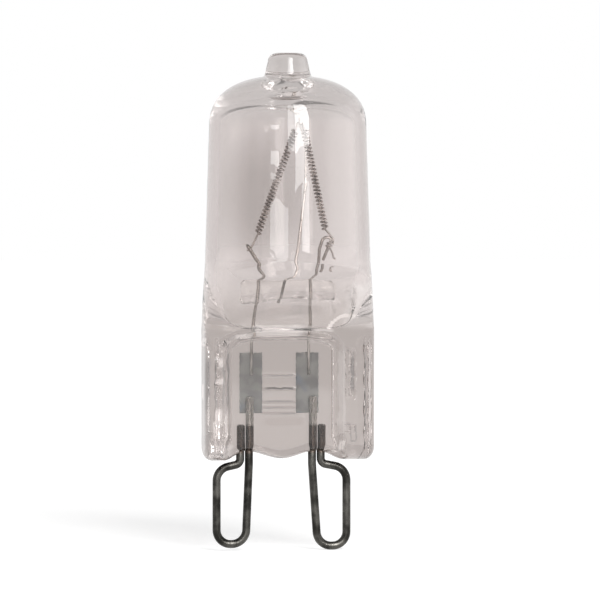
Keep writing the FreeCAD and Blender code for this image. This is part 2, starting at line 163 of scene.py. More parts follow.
def finished_piece(
    mesh: bmesh.types.BMesh,
    name: str,
    material: bpy.types.Material,
    nodes: Sequence[str],
    recalculate: bool = True,
) -> bpy.types.Object:
    """Turn a mesh in millimetres into a piece that rides on the bulb.

    Args:
        mesh: The mesh, which is freed.
        name: Name of the piece.
        material: Its finish.
        nodes: CAD nodes that it stands for.
        recalculate: False where the faces already point the right way.

    Returns:
        The new object.
    """
    if recalculate:
        bmesh.ops.recalc_face_normals(mesh, faces=mesh.faces)
    bmesh.ops.scale(mesh, vec=Vector((MILLIMETRE,) * 3), verts=mesh.verts)
    data = bpy.data.meshes.new(name)
    mesh.to_mesh(data)
    mesh.free()
    data.polygons.foreach_set("use_smooth", [True] * len(data.polygons))
    data.materials.append(material)
    piece = bpy.data.objects.new(name, data)
    bpy.context.collection.objects.link(piece)
    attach(piece, BODY)
    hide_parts(*nodes)
    log.info("%s: %d faces", name, len(data.polygons))
    return piece


def ring_about(centre: Vector, along: Vector, beside: Vector, radius: float) -> Ring:
    """Round ring across a direction.

    Args:
        centre: Middle of the ring.
        along: Direction that the ring stands across.
        beside: Side where the turn is zero.
        radius: Radius of the ring.

    Returns:
        A function from turn to place.
    """
    other = along.cross(beside)

    def where(turn: float) -> Vector:
        """Place on the ring at a turn."""
        angle = 2.0 * math.pi * turn
        return centre + beside * (radius * math.cos(angle)) + other * (radius * math.sin(angle))

    return where


def level_ring(radius: float, level: float, shift: float = 0.0) -> Ring:
    """Round level ring, moved along the X axis by a shift."""
    return ring_about(Vector((shift, 0.0, level)), Z_AXIS, X_AXIS, radius)


def squared_ring(angle: float, half_width: float, half_depth: float, power: float) -> tuple[float, float]:
    """Place on a ring between an ellipse and a rectangle.

    Args:
        angle: Angle on the ring, in radians.
        half_width: Reach of the ring on the X axis.
        half_depth: Reach of the ring on the Y axis.
        power: 2 for an ellipse, and more for squarer corners.

    Returns:
        X and Y.
    """
    across, through = math.cos(angle), math.sin(angle)
    size = (abs(across) ** power + abs(through) ** power) ** (-1.0 / power)
    return half_width * across * size, half_depth * through * size


@dataclass(frozen=True)
class Wire:
    """Round drawn wire that follows stations without a twist."""

    radius: float
    sides: int
    end_rounding: float = 0.35
    bend_room: float = 0.48

    def bent(self, points: Sequence[Vector], bends: Sequence[float], step: float = 9.0) -> list[Station]:
        """Lay straight runs joined by tangent arcs.

        Args:
            points: Corners of the wire, with its two ends.
            bends: Bend radius at each corner.
            step: Degrees of a bend between stations.

        Returns:
            Places and directions along the wire.
        """
        stations = [(points[0].copy(), (points[1] - points[0]).normalized())]
        for before, corner, after, bend in zip(points, points[1:], points[2:], bends):
            room = self.bend_room * min((corner - before).length, (after - corner).length)
            heading = (corner - before).normalized()
            ahead = (after - corner).normalized()
            turn = heading.angle(ahead)
            reach = min(bend * math.tan(turn / 2), room)
            radius = reach / math.tan(turn / 2)
            inward = (ahead - heading * math.cos(turn)).normalized()
            centre = corner - heading * reach + inward * radius
            steps = max(2, math.ceil(math.degrees(turn) / step))
            for index in range(steps + 1):
                across = math.cos(turn * index / steps)
                forward = math.sin(turn * index / steps)
                place = centre + (heading * forward - inward * across) * radius
                stations.append((place, heading * across + inward * forward))
        stations.append((points[-1].copy(), (points[-1] - points[-2]).normalized()))
        return stations

    def directed(self, points: Sequence[Vector]) -> list[Station]:
        """Stations at the points of a fine path.

        Args:
            points: Places along the wire.

        Returns:
            Each place with the direction from the one before it to the one after.
        """
        before = [points[0], *points[:-1]]
        after = [*points[1:], points[-1]]
        return [(place, (end - start).normalized()) for start, place, end in zip(before, points, after)]

    def coiled(
        self, start: Vector, end: Vector, radius: float, pitch: float, out: Vector, first: float, steps: int
    ) -> list[Vector]:
        """Wind a whole number of turns about a line.

        Args:
            start: Start of the line.
            end: End of the line.
            radius: Radius of the coil at the wire's middle.
            pitch: Rise of one turn.
            out: Side where the angle is zero.
            first: Angle of the first point, in radians.
            steps: Points in one turn.

        Returns:
            The points.
        """
        along = end - start
        turns = max(round(along.length / pitch), 1)
        step = along / (turns * steps)
        along.normalize()
        side = (out - along * out.dot(along)).normalized()
        beside = along.cross(side)
        points = []
        for index in range(turns * steps + 1):
            angle = first + 2.0 * math.pi * index / steps
            reach = side * (radius * math.cos(angle)) + beside * (radius * math.sin(angle))
            points.append(start + step * index + reach)
        return points

    def drawn(self, stations: Sequence[Station], mesh: bmesh.types.BMesh | None = None) -> bmesh.types.BMesh:
        """Draw the skin of the wire, with softened ends.

        Args:
            stations: Places and directions along the wire.
            mesh: Mesh that the wire joins, or None for a new one.

        Returns:
            The mesh.
        """
        skin = GrownSkin(self.sides, mesh)
        beside = Y_AXIS
        rings = []
        for place, along in stations:
            beside = (beside - along * beside.dot(along)).normalized()
            rings.append((place, along, beside))
        inset = self.radius * self.end_rounding
        place, along, side = rings[0]
        skin.place(ring_about(place, along, side, self.radius - inset))
        skin.grow(ring_about(place + along * inset, along, side, self.radius))
        for place, along, side in rings[1:-1]:
            skin.grow(ring_about(place, along, side, self.radius))
        place, along, side = rings[-1]
        skin.grow(ring_about(place - along * inset, along, side, self.radius))
        skin.grow(ring_about(place, along, side, self.radius - inset))
        skin.cap(skin.first_edges)
        skin.cap(skin.edges)
        return skin.mesh


class NodeBoard:
    """Short way to place and join the nodes of one material or group."""

    def __init__(self, tree: bpy.types.NodeTree) -> None:
        """Keep the tree that the nodes go in."""
        self.tree = tree

    def feed(self, node: bpy.types.Node, inputs: dict) -> None:
        """Give a node its inputs.

        Args:
            node: The node.
            inputs: Values or sockets, by the name or number of the input.
        """
        for key, value in inputs.items():
            if isinstance(value, bpy.types.NodeSocket):
                self.tree.links.new(value, node.inputs[key])
            else:
                node.inputs[key].default_value = value

    def add(self, kind: str, inputs: dict | None = None, **settings: object) -> bpy.types.Node:
        """Place a node.

        Args:
            kind: Node type, such as ShaderNodeMix.
            inputs: Values or sockets for its inputs, by name or number.
            **settings: Properties of the node.

        Returns:
            The node.
        """
        node = self.tree.nodes.new(kind)
        for name, value in settings.items():
            setattr(node, name, value)
        self.feed(node, inputs or {})
        return node

    def plus(self, base: object, value: object, factor: float) -> bpy.types.NodeSocket:
        """Base with a multiple of a value added."""
        return self.maths("ADD", base, self.maths("MULTIPLY", value, factor))

    def mix(self, share: object, low: object, high: object) -> bpy.types.NodeSocket:
        """Colour between two colours."""
        node = self.add("ShaderNodeMix", {0: share, 6: low, 7: high}, data_type="RGBA")
        return node.outputs[2]

    def maths(self, operation: str, first: object, second: object = 0.0) -> bpy.types.NodeSocket:
        """Result of one sum."""
        return self.add("ShaderNodeMath", {0: first, 1: second}, operation=operation).outputs[0]

    def vector(self, operation: str, inputs: dict, result: int | str = 0) -> bpy.types.NodeSocket:
        """Result of one sum with vectors."""
        return self.add("ShaderNodeVectorMath", inputs, operation=operation).outputs[result]

    def ramp(
        self, value: object, low: float, high: float, start: float = 0.0, end: float = 1.0
    ) -> bpy.types.NodeSocket:
        """Ease a value between two limits.

        Args:
            value: The value that is read.
            low: Where the result is start.
            high: Where the result is end.
            start: First result.
            end: Last result.

        Returns:
            The eased value.
        """
        node = self.add(
            "ShaderNodeMapRange",
            {"Value": value, "From Min": low, "From Max": high, "To Min": start, "To Max": end},
            interpolation_type="SMOOTHSTEP",
        )
        return node.outputs["Result"]


class GroupBoard(NodeBoard):
    """Node board of a new shader node group."""

    def __init__(self, name: str, kind: str, inputs: dict[str, float | None], outputs: Sequence[str]) -> None:
        """Start the group.

        Args:
            name: Name of the group.
            kind: Socket type of its inputs.
            inputs: Names of its inputs, each with a first value or None.
            outputs: Names of its outputs.
        """
        super().__init__(bpy.data.node_groups.new(name, "ShaderNodeTree"))
        for label, value in inputs.items():
            socket = self.tree.interface.new_socket(label, in_out="INPUT", socket_type=kind)
            if value is not None:
                socket.default_value = value
        for label in outputs:
            self.tree.interface.new_socket(label, in_out="OUTPUT", socket_type="NodeSocketFloat")
        self.given = self.add("NodeGroupInput").outputs

    def finish(self, outputs: dict) -> bpy.types.NodeTree:
        """Feed the group's outputs and give its tree."""
        self.add("NodeGroupOutput", outputs)
        return self.tree


class MaterialBoard(NodeBoard):
    """Node board of a new material with one Principled shader."""

    def __init__(self, name: str) -> None:
        """Start the material.

        Args:
            name: Name of the material.
        """
        self.material = bpy.data.materials.new(name)
        self.material.use_nodes = True
        super().__init__(self.material.node_tree)
        self.place = self.add("ShaderNodeTexCoord").outputs["Object"]

    def relief(self, height: bpy.types.NodeSocket, strength: float, distance: float) -> bpy.types.NodeSocket:
        """Normal that leans with a height."""
        inputs = {"Strength": strength, "Distance": distance, "Height": height}
        return self.add("ShaderNodeBump", inputs).outputs[0]

    def finish(self, inputs: dict) -> bpy.types.Material:
        """Feed the shader and give the material."""
        self.feed(self.tree.nodes["Principled BSDF"], inputs)
        return self.material


@cache
def speckle_group() -> bpy.types.NodeTree:
    """Group that gives a fine and a broad unevenness, used by every metal finish.

    Returns:
        The group's tree.
    """
    scales = {"Fine Scale": 6000.0, "Broad Scale": 700.0, "Stretch": 1.0}
    board = GroupBoard("surface_unevenness", "NodeSocketFloat", scales, ("Fine", "Broad"))
    place = board.add("ShaderNodeTexCoord").outputs["Object"]
    stretch = board.add("ShaderNodeCombineXYZ", {0: 1.0, 1: 1.0, 2: board.given["Stretch"]}).outputs[0]
    drawn = board.add("ShaderNodeMapping", {"Vector": place, "Scale": stretch}).outputs[0]
    fine = board.add(
        "ShaderNodeTexNoise",
        {"Vector": drawn, "Scale": board.given["Fine Scale"], "Detail": 4.0, "Roughness": 0.6},
    )
    broad = board.add(
        "ShaderNodeTexNoise", {"Vector": place, "Scale": board.given["Broad Scale"], "Detail": 2.0}
    )
    return board.finish({"Fine": fine.outputs["Fac"], "Broad": broad.outputs["Fac"]})


@cache
def ripple_group() -> bpy.types.NodeTree:
    """Group that gives the slow waves of drawn quartz, used by every quartz finish.

    Returns:
        The group's tree.
    """
    board = GroupBoard("quartz_ripple", "NodeSocketFloat", {"Scale": 260.0}, ("Height",))
    place = board.add("ShaderNodeTexCoord").outputs["Object"]
    waves = board.add("ShaderNodeTexNoise", {"Vector": place, "Scale": board.given["Scale"], "Detail": 1.0})
    return board.finish({"Height": waves.outputs["Fac"]})


MARK_CORE = 0.55


@cache
def painted_light_mark_group() -> bpy.types.NodeTree:
    """Group that gives 1 inside a soft-edged box and 0 outside it, used for every mark of painted shade and
    painted highlight.

    Returns:
        The group's tree.
    """
    sizes = {"Place": None, "Middle": None, "Half": None}
    board = GroupBoard("painted_light_mark", "NodeSocketVector", sizes, ("Share",))
    off = board.vector("SUBTRACT", {0: board.given["Place"], 1: board.given["Middle"]})
    size = board.vector("ABSOLUTE", {0: board.vector("DIVIDE", {0: off, 1: board.given["Half"]})})
    axes = board.add("ShaderNodeSeparateXYZ", {0: size}).outputs
    across, deep, high = (board.ramp(axes[axis], MARK_CORE, 1.0, 1.0, 0.0) for axis in range(3))
    return board.finish({"Share": board.maths("MULTIPLY", board.maths("MULTIPLY", across, deep), high)})


@dataclass(frozen=True)
class WireFinish:
    """Drawn wire: two tones, other tones above given heights in metres, fine drawing lines."""

    name: str
    light: Colour
    dark: Colour
    bands: tuple[tuple[float, Colour], ...] = ()
    band_fade: float = 0.0002
    metallic: float = 0.85
    smoothest: float = 0.28
    roughest: float = 0.5
    stretch: float = 0.15
    streaks: tuple[float, float] = (0.4, 0.75)
    streak_share: float = 0.5
    band_streak_share: float = 0.35
    bump: float = 0.15
    bump_distance: float = 0.00002

    def material(self) -> bpy.types.Material:
        """Build the material.

        Returns:
            A Principled finish whose tone follows noise and height.
        """
        board = MaterialBoard(self.name)
        uneven = board.add("ShaderNodeGroup", {}, node_tree=speckle_group())
        uneven.inputs["Stretch"].default_value = self.stretch
        fine, broad = uneven.outputs["Fine"], uneven.outputs["Broad"]
        level = board.add("ShaderNodeSeparateXYZ", {0: board.place}).outputs[2]
        tone = board.mix(board.ramp(broad, 0.35, 0.65), self.dark, self.light)
        tone = board.mix(board.ramp(fine, *self.streaks, 0.0, self.streak_share), tone, self.dark)
        for height, colour in self.bands:
            above = board.ramp(level, height - self.band_fade, height + self.band_fade)
            streaked = board.ramp(fine, *self.streaks, 0.0, self.band_streak_share)
            tone = board.mix(above, tone, board.mix(streaked, colour, self.dark))
        return board.finish({
            "Base Color": tone,
            "Metallic": self.metallic,
            "Roughness": board.ramp(fine, 0.3, 0.7, self.smoothest, self.roughest),
            "Normal": board.relief(fine, self.bump, self.bump_distance),
        })


@dataclass(frozen=True)
class FoilFinish:
    """Etched sealing foil: matt grey with bluish heat patches."""

    name: str = "etched_foil"
    grey: Colour = (0.462, 0.492, 0.492, 1.0)
    dull: Colour = (0.364, 0.388, 0.394, 1.0)
    bluish: Colour = (0.34, 0.4, 0.47, 1.0)
    broad_scale: float = 900.0
    patch_scale: float = 520.0
    patches: tuple[float, float] = (0.56, 0.68)
    patch_share: float = 0.8
    metallic: float = 0.25
    roughness: float = 0.5
    bump: float = 0.3
    bump_distance: float = 0.00004

    def material(self) -> bpy.types.Material:
        """Build the material.

        Returns:
            A Principled finish in three tones.
        """
        board = MaterialBoard(self.name)
        uneven = board.add("ShaderNodeGroup", {}, node_tree=speckle_group())
        uneven.inputs["Broad Scale"].default_value = self.broad_scale
        broad = uneven.outputs["Broad"]
        tone = board.mix(board.ramp(broad, 0.4, 0.6), self.dull, self.grey)
        patches = board.add(
            "ShaderNodeTexNoise",
            {"Vector": board.place, "Scale": self.patch_scale, "Detail": 3.0, "W": 2.0},
            noise_dimensions="4D",
        )
        heated = board.ramp(patches.outputs["Fac"], *self.patches, 0.0, self.patch_share)
        return board.finish({
            "Base Color": board.mix(heated, tone, self.bluish),
            "Metallic": self.metallic,
            "Roughness": self.roughness,
            "Normal": board.relief(broad, self.bump, self.bump_distance),
        })


# Warm tint of the marks of painted shade and painted highlight, scaled by each mark's tone.
PAINTED_MARK_TINT = (1.0, 0.93, 0.905)


@dataclass(frozen=True)
class PaintedLightMark:
    """One line, band or speck in the quartz's tint, in millimetres: a dark one is painted shade and a bright
    one a painted highlight.
    """

    middle: tuple[float, float, float]
    half: tuple[float, float, float]
    tone: float

    def colour(self) -> Colour:
        """Tint of the glass inside the mark."""
        return (*(self.tone * share for share in PAINTED_MARK_TINT), 1.0)


@dataclass(frozen=True)
class QuartzFinish:
    """Clear quartz, with a warm tint that deepens where it was pressed, and with marks of painted shade and
    painted highlight and a patch of painted shade where given. Lengths are in metres.
    """

    name: str
    clear: Colour
    pressed: Colour | None = None
    pressed_top: float = 0.0226
    pressed_fade: float = 0.003
    marks: tuple[PaintedLightMark, ...] = ()
    wander: float = 0.0004
    wander_scale: float = 900.0
    painted_shade: Colour | None = None
    painted_shade_middle: tuple[float, float] = (-0.0022, 0.0318)
    painted_shade_reach: tuple[float, float] = (0.0056, 0.0072)
    painted_shade_core: float = 0.25
    waviness: float = 0.04
    wave_depth: float = 0.0002
    refraction: float = 1.458

    def painted_shaded(self, board: MaterialBoard, tone: object, axes: Sequence[bpy.types.NodeSocket]) -> object:
        """Add a patch of painted shade on the cavity wall around the filament's left leg.

        Args:
            board: Board of the material.
            tone: Tone of the clear quartz.
            axes: Place on each axis.

        Returns:
            The tone with a soft oval patch of painted shade.
        """
        squares = []
        for axis, middle, reach in zip((0, 2), self.painted_shade_middle, self.painted_shade_reach):
            off = board.maths("DIVIDE", board.maths("SUBTRACT", axes[axis], middle), reach)
            squares.append(board.maths("MULTIPLY", off, off))
        away = board.maths("SQRT", board.maths("ADD", *squares))
        return board.mix(board.ramp(away, self.painted_shade_core, 1.0, 1.0, 0.0), tone, self.painted_shade)

    def marked(self, board: MaterialBoard, tone: object) -> object:
        """Add the painted shade lines and painted highlights.

        Args:
            board: Board of the material.
            tone: Tone of the quartz without marks.

        Returns:
            The tone with every mark, each a little crooked.
        """
        noise = board.add(
            "ShaderNodeTexNoise", {"Vector": board.place, "Scale": self.wander_scale, "Detail": 2.0}
        )
        shift = board.vector("SUBTRACT", {0: noise.outputs["Color"], 1: (0.5, 0.5, 0.5)})
        shift = board.vector("SCALE", {0: shift, "Scale": self.wander})
        moved = board.vector("ADD", {0: board.place, 1: shift})
        for mark in self.marks:
            node = board.add("ShaderNodeGroup", {}, node_tree=painted_light_mark_group())
            middle = tuple(value * MILLIMETRE for value in mark.middle)
            half = tuple(value * MILLIMETRE for value in mark.half)
            board.feed(node, {"Place": moved, "Middle": middle, "Half": half})
            tone = board.mix(node.outputs["Share"], tone, mark.colour())
        return tone

    def material(self) -> bpy.types.Material:
        """Build the material.

        Returns:
            A refractive Principled finish.
        """
        board = MaterialBoard(self.name)
        axes = board.add("ShaderNodeSeparateXYZ", {0: board.place}).outputs
        tone = self.clear
        if self.pressed:
            top, fade = self.pressed_top, self.pressed_fade
            tone = board.mix(board.ramp(axes[2], top - fade, top + fade, 1.0, 0.0), tone, self.pressed)
        # Painted shade: a soft darker patch on the cavity wall around the filament's left leg.
        if self.painted_shade:
            tone = self.painted_shaded(board, tone, axes)
        # Painted shade lines and painted highlights.
        if self.marks:
            tone = self.marked(board, tone)
        ripple = board.add("ShaderNodeGroup", {}, node_tree=ripple_group())
        return board.finish({
            "Base Color": tone,
            "Roughness": 0.0,
            "IOR": self.refraction,
            "Transmission Weight": 1.0,
            "Normal": board.relief(ripple.outputs["Height"], self.waviness, self.wave_depth),
        })


@dataclass(frozen=True)
class Wobble:
    """Slow waver of a line down the seal, in millimetres and radians per millimetre."""

    height: float
    rate: float

    def at(self, level: float, start: float = 0.0) -> float:
        """Waver at a height."""
        return self.height * math.sin(self.rate * level + start)


@dataclass(frozen=True)
class JawMark:
    """Mark that the pressing jaws left down each flange, in millimetres."""

    half_width: float
    side_fade: float
    level: float
    half_height: float
    end_fade: float
    depth: float

    def depth_at(self, off: float, level: float) -> float:
        """Depth of the mark at a distance from its middle line and at a height."""
        across = plateau(off, self.half_width, self.side_fade)
        return self.depth * across * plateau(level - self.level, self.half_height, self.end_fade)


@dataclass
class Seal:
    """Pressed flat seal: two flanges, a thin web between them and the marks of the pressing jaws."""

    bottom: float = 8.1
    top: float = 20.0
    half_width: float = 7.7
    half_depth: float = 2.6
    power: float = 5.0
    web_half: float = 1.3
    centre: float = -0.59
    recess_half: float = 4.85
    side_slope: float = 0.41
    side_softness: float = 0.15
    top_gap: float = 1.05
    top_slope: float = 0.85
    arch: float = 1.8
    foot_flare: float = 0.5
    foot_height: float = 1.6
    foot_reach: float = 1.0
    pad_half: float = 1.9
    pad_side: float = 0.25
    pad_top: float = 4.0
    pad_end: float = 1.1
    pad_thickness: float = 0.02
    ridges: tuple[tuple[float, float], ...] = (
        (12.4, 0.05), (12.9, 0.06), (13.4, 0.08), (14.55, 0.13), (15.8, 0.08),
    )
    ridge_shift: float = -0.3
    ridge_half: float = 1.65
    ridge_end: float = 0.3
    ridge_width: float = 0.06
    ridge_spread: float = 0.3
    ridged_share: float = 0.9
    plain_share: float = 0.1
    groove_inset: float = 0.8
    groove: JawMark = JawMark(0.24, 0.13, 15.85, 2.25, 0.3, 0.26)
    dent: JawMark = JawMark(0.3, 0.12, 10.35, 0.7, 0.15, 0.24)
    rib_inset: float = 0.86
    rib: JawMark = JawMark(0.17, 0.11, 9.2, 10.0, 0.8, 0.13)
    groove_wobble: Wobble = Wobble(0.05, 4.1)
    fine_wobble: Wobble = Wobble(0.03, 9.7)
    rib_wobble: Wobble = Wobble(0.04, 2.3)
    left_exit: float = -3.93
    right_exit: float = 2.61
    middle: float = -0.55
    corner: float = 0.85
    valley_rise: float = 0.85
    middle_rise: float = 0.15

    def lower_edge(self, x: float) -> float:
        """Height of the seal's lobed lower edge.

        Args:
            x: Place across the seal.

        Returns:
            The height, lowest in the lobe outside each wire and rounded up at the corners.
        """
        low = self.bottom
        pairs = (
            ((self.left_exit - self.half_width) / 2, low),
            (self.left_exit, low + self.valley_rise),
            (self.middle, low + self.middle_rise),
            (self.right_exit, low + self.valley_rise),
            ((self.right_exit + self.half_width) / 2, low),
        )
        reach = min(max(abs(x) - self.half_width + self.corner, 0.0) / self.corner, 1.0)
        return through_points(pairs, x) + self.corner * (1.0 - (1.0 - reach * reach) ** 0.5)

    def recess(self, off: float, z: float) -> float:
        """Share of the recess at a place on the face.

        Args:
            off: Place across the recess, from its middle.
            z: Height.

        Returns:
            1 on the floor of the recess and 0 outside it.
        """
        bend = self.bottom + self.foot_height
        half = self.recess_half + self.side_slope
        half += self.foot_flare * max(0.0, (bend - z) / (self.foot_height + self.foot_reach))
        share = min(abs(off) / half, 1.0)
        fall = self.arch * (1.0 - (1.0 - share**4) ** 0.5)
        arch_top = self.top - self.top_gap + self.top_slope - fall
        side = plateau(off, half, self.side_slope + self.side_softness)
        return side * smooth_step((arch_top - z) / self.top_slope)

    def web(self, off: float, z: float, ridged: bool) -> float:
        """Half thickness of the web.

        Args:
            off: Place across the recess, from its middle.
            z: Height.
            ridged: True on the face that the ridged jaw pressed.

        Returns:
            Half thickness with the low pad and the ridges.
        """
        pad = plateau(off, self.pad_half, self.pad_side)
        pad *= smooth_step((self.bottom + self.pad_top - z) / self.pad_end)
        thick = self.web_half + self.pad_thickness * pad
        along = plateau(off - self.ridge_shift, self.ridge_half, self.ridge_end)
        along *= self.ridged_share if ridged else self.plain_share
        for level, height in self.ridges:
            thick += along * height * hump(z - level, self.ridge_width + height * self.ridge_spread)
        return thick

    def depth(self, x: float, z: float, outer: float, ridged: bool) -> float:
        """Half thickness of the glass at a place on the face.

        Args:
            x: Place across the seal.
            z: Height.
            outer: Half thickness without any pressed feature.
            ridged: True on the face that the ridged jaw pressed.

        Returns:
            Half thickness with the recess, pad, ridges and marks.
        """
        off = x - self.centre
        depth = between(outer, min(self.web(off, z, ridged), outer), self.recess(off, z))
        for side in Side:
            middle = self.centre + side.value * (self.recess_half + self.side_slope + self.groove_inset)
            wobble = self.groove_wobble.at(z) + self.fine_wobble.at(z, side.value)
            rib = self.half_width - self.rib_inset + self.rib_wobble.at(z, side.value)
            depth -= self.groove.depth_at(x - middle - wobble, z)
            depth -= self.dent.depth_at(x - middle, z)
            depth -= self.rib.depth_at(x * side.value - rib, z)
        return depth


@dataclass
class Envelope:
    """Quartz envelope: seal, shoulder, tube, crown and sealed tip around one closed cavity."""

    seal: Seal
    sides: int = 320
    cavity_sides: int = 96
    foot_steps: int = 12
    shoulder_steps: int = 28
    tube_steps: int = 8
    crown_steps: int = 24
    tip_steps: int = 6
    wedge_steps: int = 24
    cavity_crown_steps: int = 18
    fine_step: float = 0.07
    coarse_step: float = 0.13
    fine_reach: float = 0.25
    lobe_reach: float = 4.0
    foot_rounding: float = 0.55
    tube_bottom: float = 26.0
    tube_top: float = 38.0
    tube_low: float = 7.42
    tube_high: float = 7.05
    wall: float = 1.0
    crown_height: float = 4.6
    crown_power: float = 2.4
    crown_wall: float = 1.75
    tip_top: float = 44.6
    tip_low: float = 2.05
    tip_high: float = 1.79
    tip_foot: float = 0.3
    tip_rounding: float = 0.75
    bore_radius: float = 0.85
    bore_mouth: float = 1.25
    bore_flare: float = 0.25
    bore_shift: float = 0.35
    bore_top: float = 42.45
    bore_end: float = 0.6
    bore_end_angle: float = 84.0
    cavity_rise: float = 5.5
    floor_half_width: float = 4.3
    floor_half_depth: float = 0.45
    floor_fullness: float = 0.6
    floor_power: float = 3.0
    crimp: float = 0.09
    crimp_reach: float = 0.2
    crimp_rates: tuple[float, float] = (7.3, 3.1)
    crimp_middle: float = -3.2
    crimp_half: float = 2.6
    crimp_rise: float = 1.5

    def angle_at(self, turn: float) -> float:
        """Angle on the ring for a turn, with more vertices where the recess walls and grooves are.

        Args:
            turn: Share of the way round, from 0 to 1.

        Returns:
            The angle in radians.
        """
        quarter, share = divmod(turn * 4.0, 1.0)
        rising = share if int(quarter) % 2 == 0 else 1.0 - share
        angle = through_density(rising)
        if int(quarter) % 2 == 1:
            angle = math.pi / 2 - angle
        return quarter * math.pi / 2 + angle

    def seal_place(self, turn: float, level: float, rounding: float) -> Vector:
        """Place on the seal.

        Args:
            turn: Share of the way round.
            level: Height before the lobed edge shifts it.
            rounding: Angle of the rounded foot, from 0 at the face to a right angle underneath.

        Returns:
            The place in millimetres.
        """
        seal = self.seal
        x, y = squared_ring(self.angle_at(turn), seal.half_width, seal.half_depth, seal.power)
        fade = smooth_step((seal.bottom + self.lobe_reach - level) / self.lobe_reach)
        z = level + (seal.lower_edge(x) - seal.bottom) * fade
        outer = abs(y)
        thick = seal.depth(x, z, outer, y > 0.0) if outer > seal.web_half * 0.6 else outer
        z -= self.foot_rounding * thick * (math.sin(rounding) - fade)
        return Vector((x, math.copysign(thick * math.cos(rounding), y), z))

    def ring_place(self, half_width: float, half_depth: float, power: float, level: float) -> Ring:
        """Level ring of the outer skin.

        Args:
            half_width: Reach of the ring on the X axis.
            half_depth: Reach of the ring on the Y axis.
            power: 2 for an ellipse, and more for squarer corners.
            level: Its height.

        Returns:
            A function from turn to place.
        """

        def where(turn: float) -> Vector:
            """Place on the ring at a turn."""
            x, y = squared_ring(self.angle_at(turn), half_width, half_depth, power)
            return Vector((x, y, level))

        return where

    def round_place(self, radius: float, level: float) -> Ring:
        """Round level ring of the tube, crown or tip."""
        return self.ring_place(radius, radius, 2.0, level)

    def shoulder_place(self, share: float) -> Ring:
        """Ring of the shoulder.

        Args:
            share: 0 at the seal and 1 at the tube.

        Returns:
            A function from turn to place.
        """
        seal = self.seal
        eased = smooth_step(share)
        half_width = between(seal.half_width, self.tube_low, eased)
        half_depth = between(seal.half_depth, self.tube_low, eased)
        power = between(seal.power, 2.0, share**0.5)
        return self.ring_place(half_width, half_depth, power, between(seal.top, self.tube_bottom, share))

    def dome(self, radius: float, height: float, end: float, steps: int) -> list[tuple[float, float]]:
        """Rings of the dome over the tube.

        Args:
            radius: Radius of the tube.
            height: Height that the dome would reach on the axis.
            end: Radius where it stops.
            steps: Rings in the dome.

        Returns:
            Radius and level of each ring, upwards.
        """
        power = 2.0 / self.crown_power
        stop = math.acos((end / radius) ** (self.crown_power / 2.0))
        angles = [stop * share for share in shares(steps)]
        return [
            (radius * math.cos(angle) ** power, self.tube_top + height * math.sin(angle) ** power)
            for angle in angles
        ]

    def outside(self, mesh: bmesh.types.BMesh) -> None:
        """Grow the outer skin from the seal's foot to the top of the tip.

        Args:
            mesh: Mesh that the skin joins.
        """
        seal = self.seal
        skin = GrownSkin(self.sides, mesh)
        skin.place(lambda turn: self.seal_place(turn, seal.bottom, math.pi / 2))
        for share in shares(self.foot_steps):
            rounding = math.pi / 2 * (1.0 - share)
            skin.grow(lambda turn: self.seal_place(turn, seal.bottom, rounding))
        level = seal.bottom
        while level < seal.top - 0.02:
            near_ridge = min(abs(level - ridge[0]) for ridge in seal.ridges) < self.fine_reach
            level = min(level + (self.fine_step if near_ridge else self.coarse_step), seal.top)
            skin.grow(lambda turn: self.seal_place(turn, level, 0.0))
        for share in shares(self.shoulder_steps):
            skin.grow(self.shoulder_place(share))
        for share in shares(self.tube_steps):
            radius = between(self.tube_low, self.tube_high, share)
            skin.grow(self.round_place(radius, between(self.tube_bottom, self.tube_top, share)))
        foot = self.tip_low + self.tip_foot
        for radius, level in self.dome(self.tube_high, self.crown_height, foot, self.crown_steps):
            skin.grow(self.round_place(radius, level))
        for share in shares(self.tip_steps - 1):
            angle = math.radians(between(270.0, 180.0, share))
            radius = foot + self.tip_foot * math.cos(angle)
            skin.grow(self.round_place(radius, level + self.tip_foot * (1.0 + math.sin(angle))))
        flat = self.tip_high - self.tip_rounding
        rim = self.tip_top - self.tip_rounding
        for share in shares(self.tip_steps, 0):
            angle = math.pi / 2 * share
            radius = flat + self.tip_rounding * math.cos(angle)
            skin.grow(self.round_place(radius, rim + self.tip_rounding * math.sin(angle)))
        for share in (0.66, 0.33, 0.1):
            skin.grow(self.round_place(flat * share, self.tip_top))
        skin.gather()

    def neck(self) -> tuple[float, float]:
        """Radius and level where the cavity's wedge meets its tube."""
        level = self.seal.top + self.cavity_rise
        slope = (self.tube_high - self.tube_low) / (self.tube_top - self.tube_bottom)
        return self.tube_low + slope * (level - self.tube_bottom) - self.wall, level

    def wedge_place(self, share: float) -> Ring:
        """Ring of the cavity's wedge.

        Args:
            share: 0 at its floor and 1 at the tube.

        Returns:
            A function from turn to place.
        """
        neck, rise = self.neck()
        fullness = (1.0 - (1.0 - share) ** 3) ** self.floor_fullness
        half_width = between(self.floor_half_width, neck, fullness)
        half_depth = between(self.floor_half_depth, neck, smooth_step(share))
        power = between(self.floor_power, 2.0, share)
        level = between(self.seal.top, rise, share)
        fade = max(0.0, 1.0 - share / self.crimp_reach)

        def where(turn: float) -> Vector:
            """Place on the ring at a turn."""
            x, y = squared_ring(2.0 * math.pi * turn, half_width, half_depth, power)
            fast, slow = self.crimp_rates
            crimp = self.crimp * math.sin(fast * x + 1.0) * math.sin(slow * x) * fade
            crimp *= hump(x - self.crimp_middle, self.crimp_half)
            return Vector((x, y + math.copysign(crimp, y), level + self.crimp_rise * crimp))

        return where

    def floor_place(self, across: float, through: float, sink: float) -> Ring:
        """Ring of the cavity's sunken floor.

        Args:
            across: Its width, as a share of the wedge's first ring.
            through: Its depth, as a share of the wedge's first ring.
            sink: How far it lies under the seal's top.

        Returns:
            A function from turn to place.
        """
        first = self.wedge_place(0.0)
        return lambda turn: Vector((first(turn).x * across, first(turn).y * through, self.seal.top - sink))

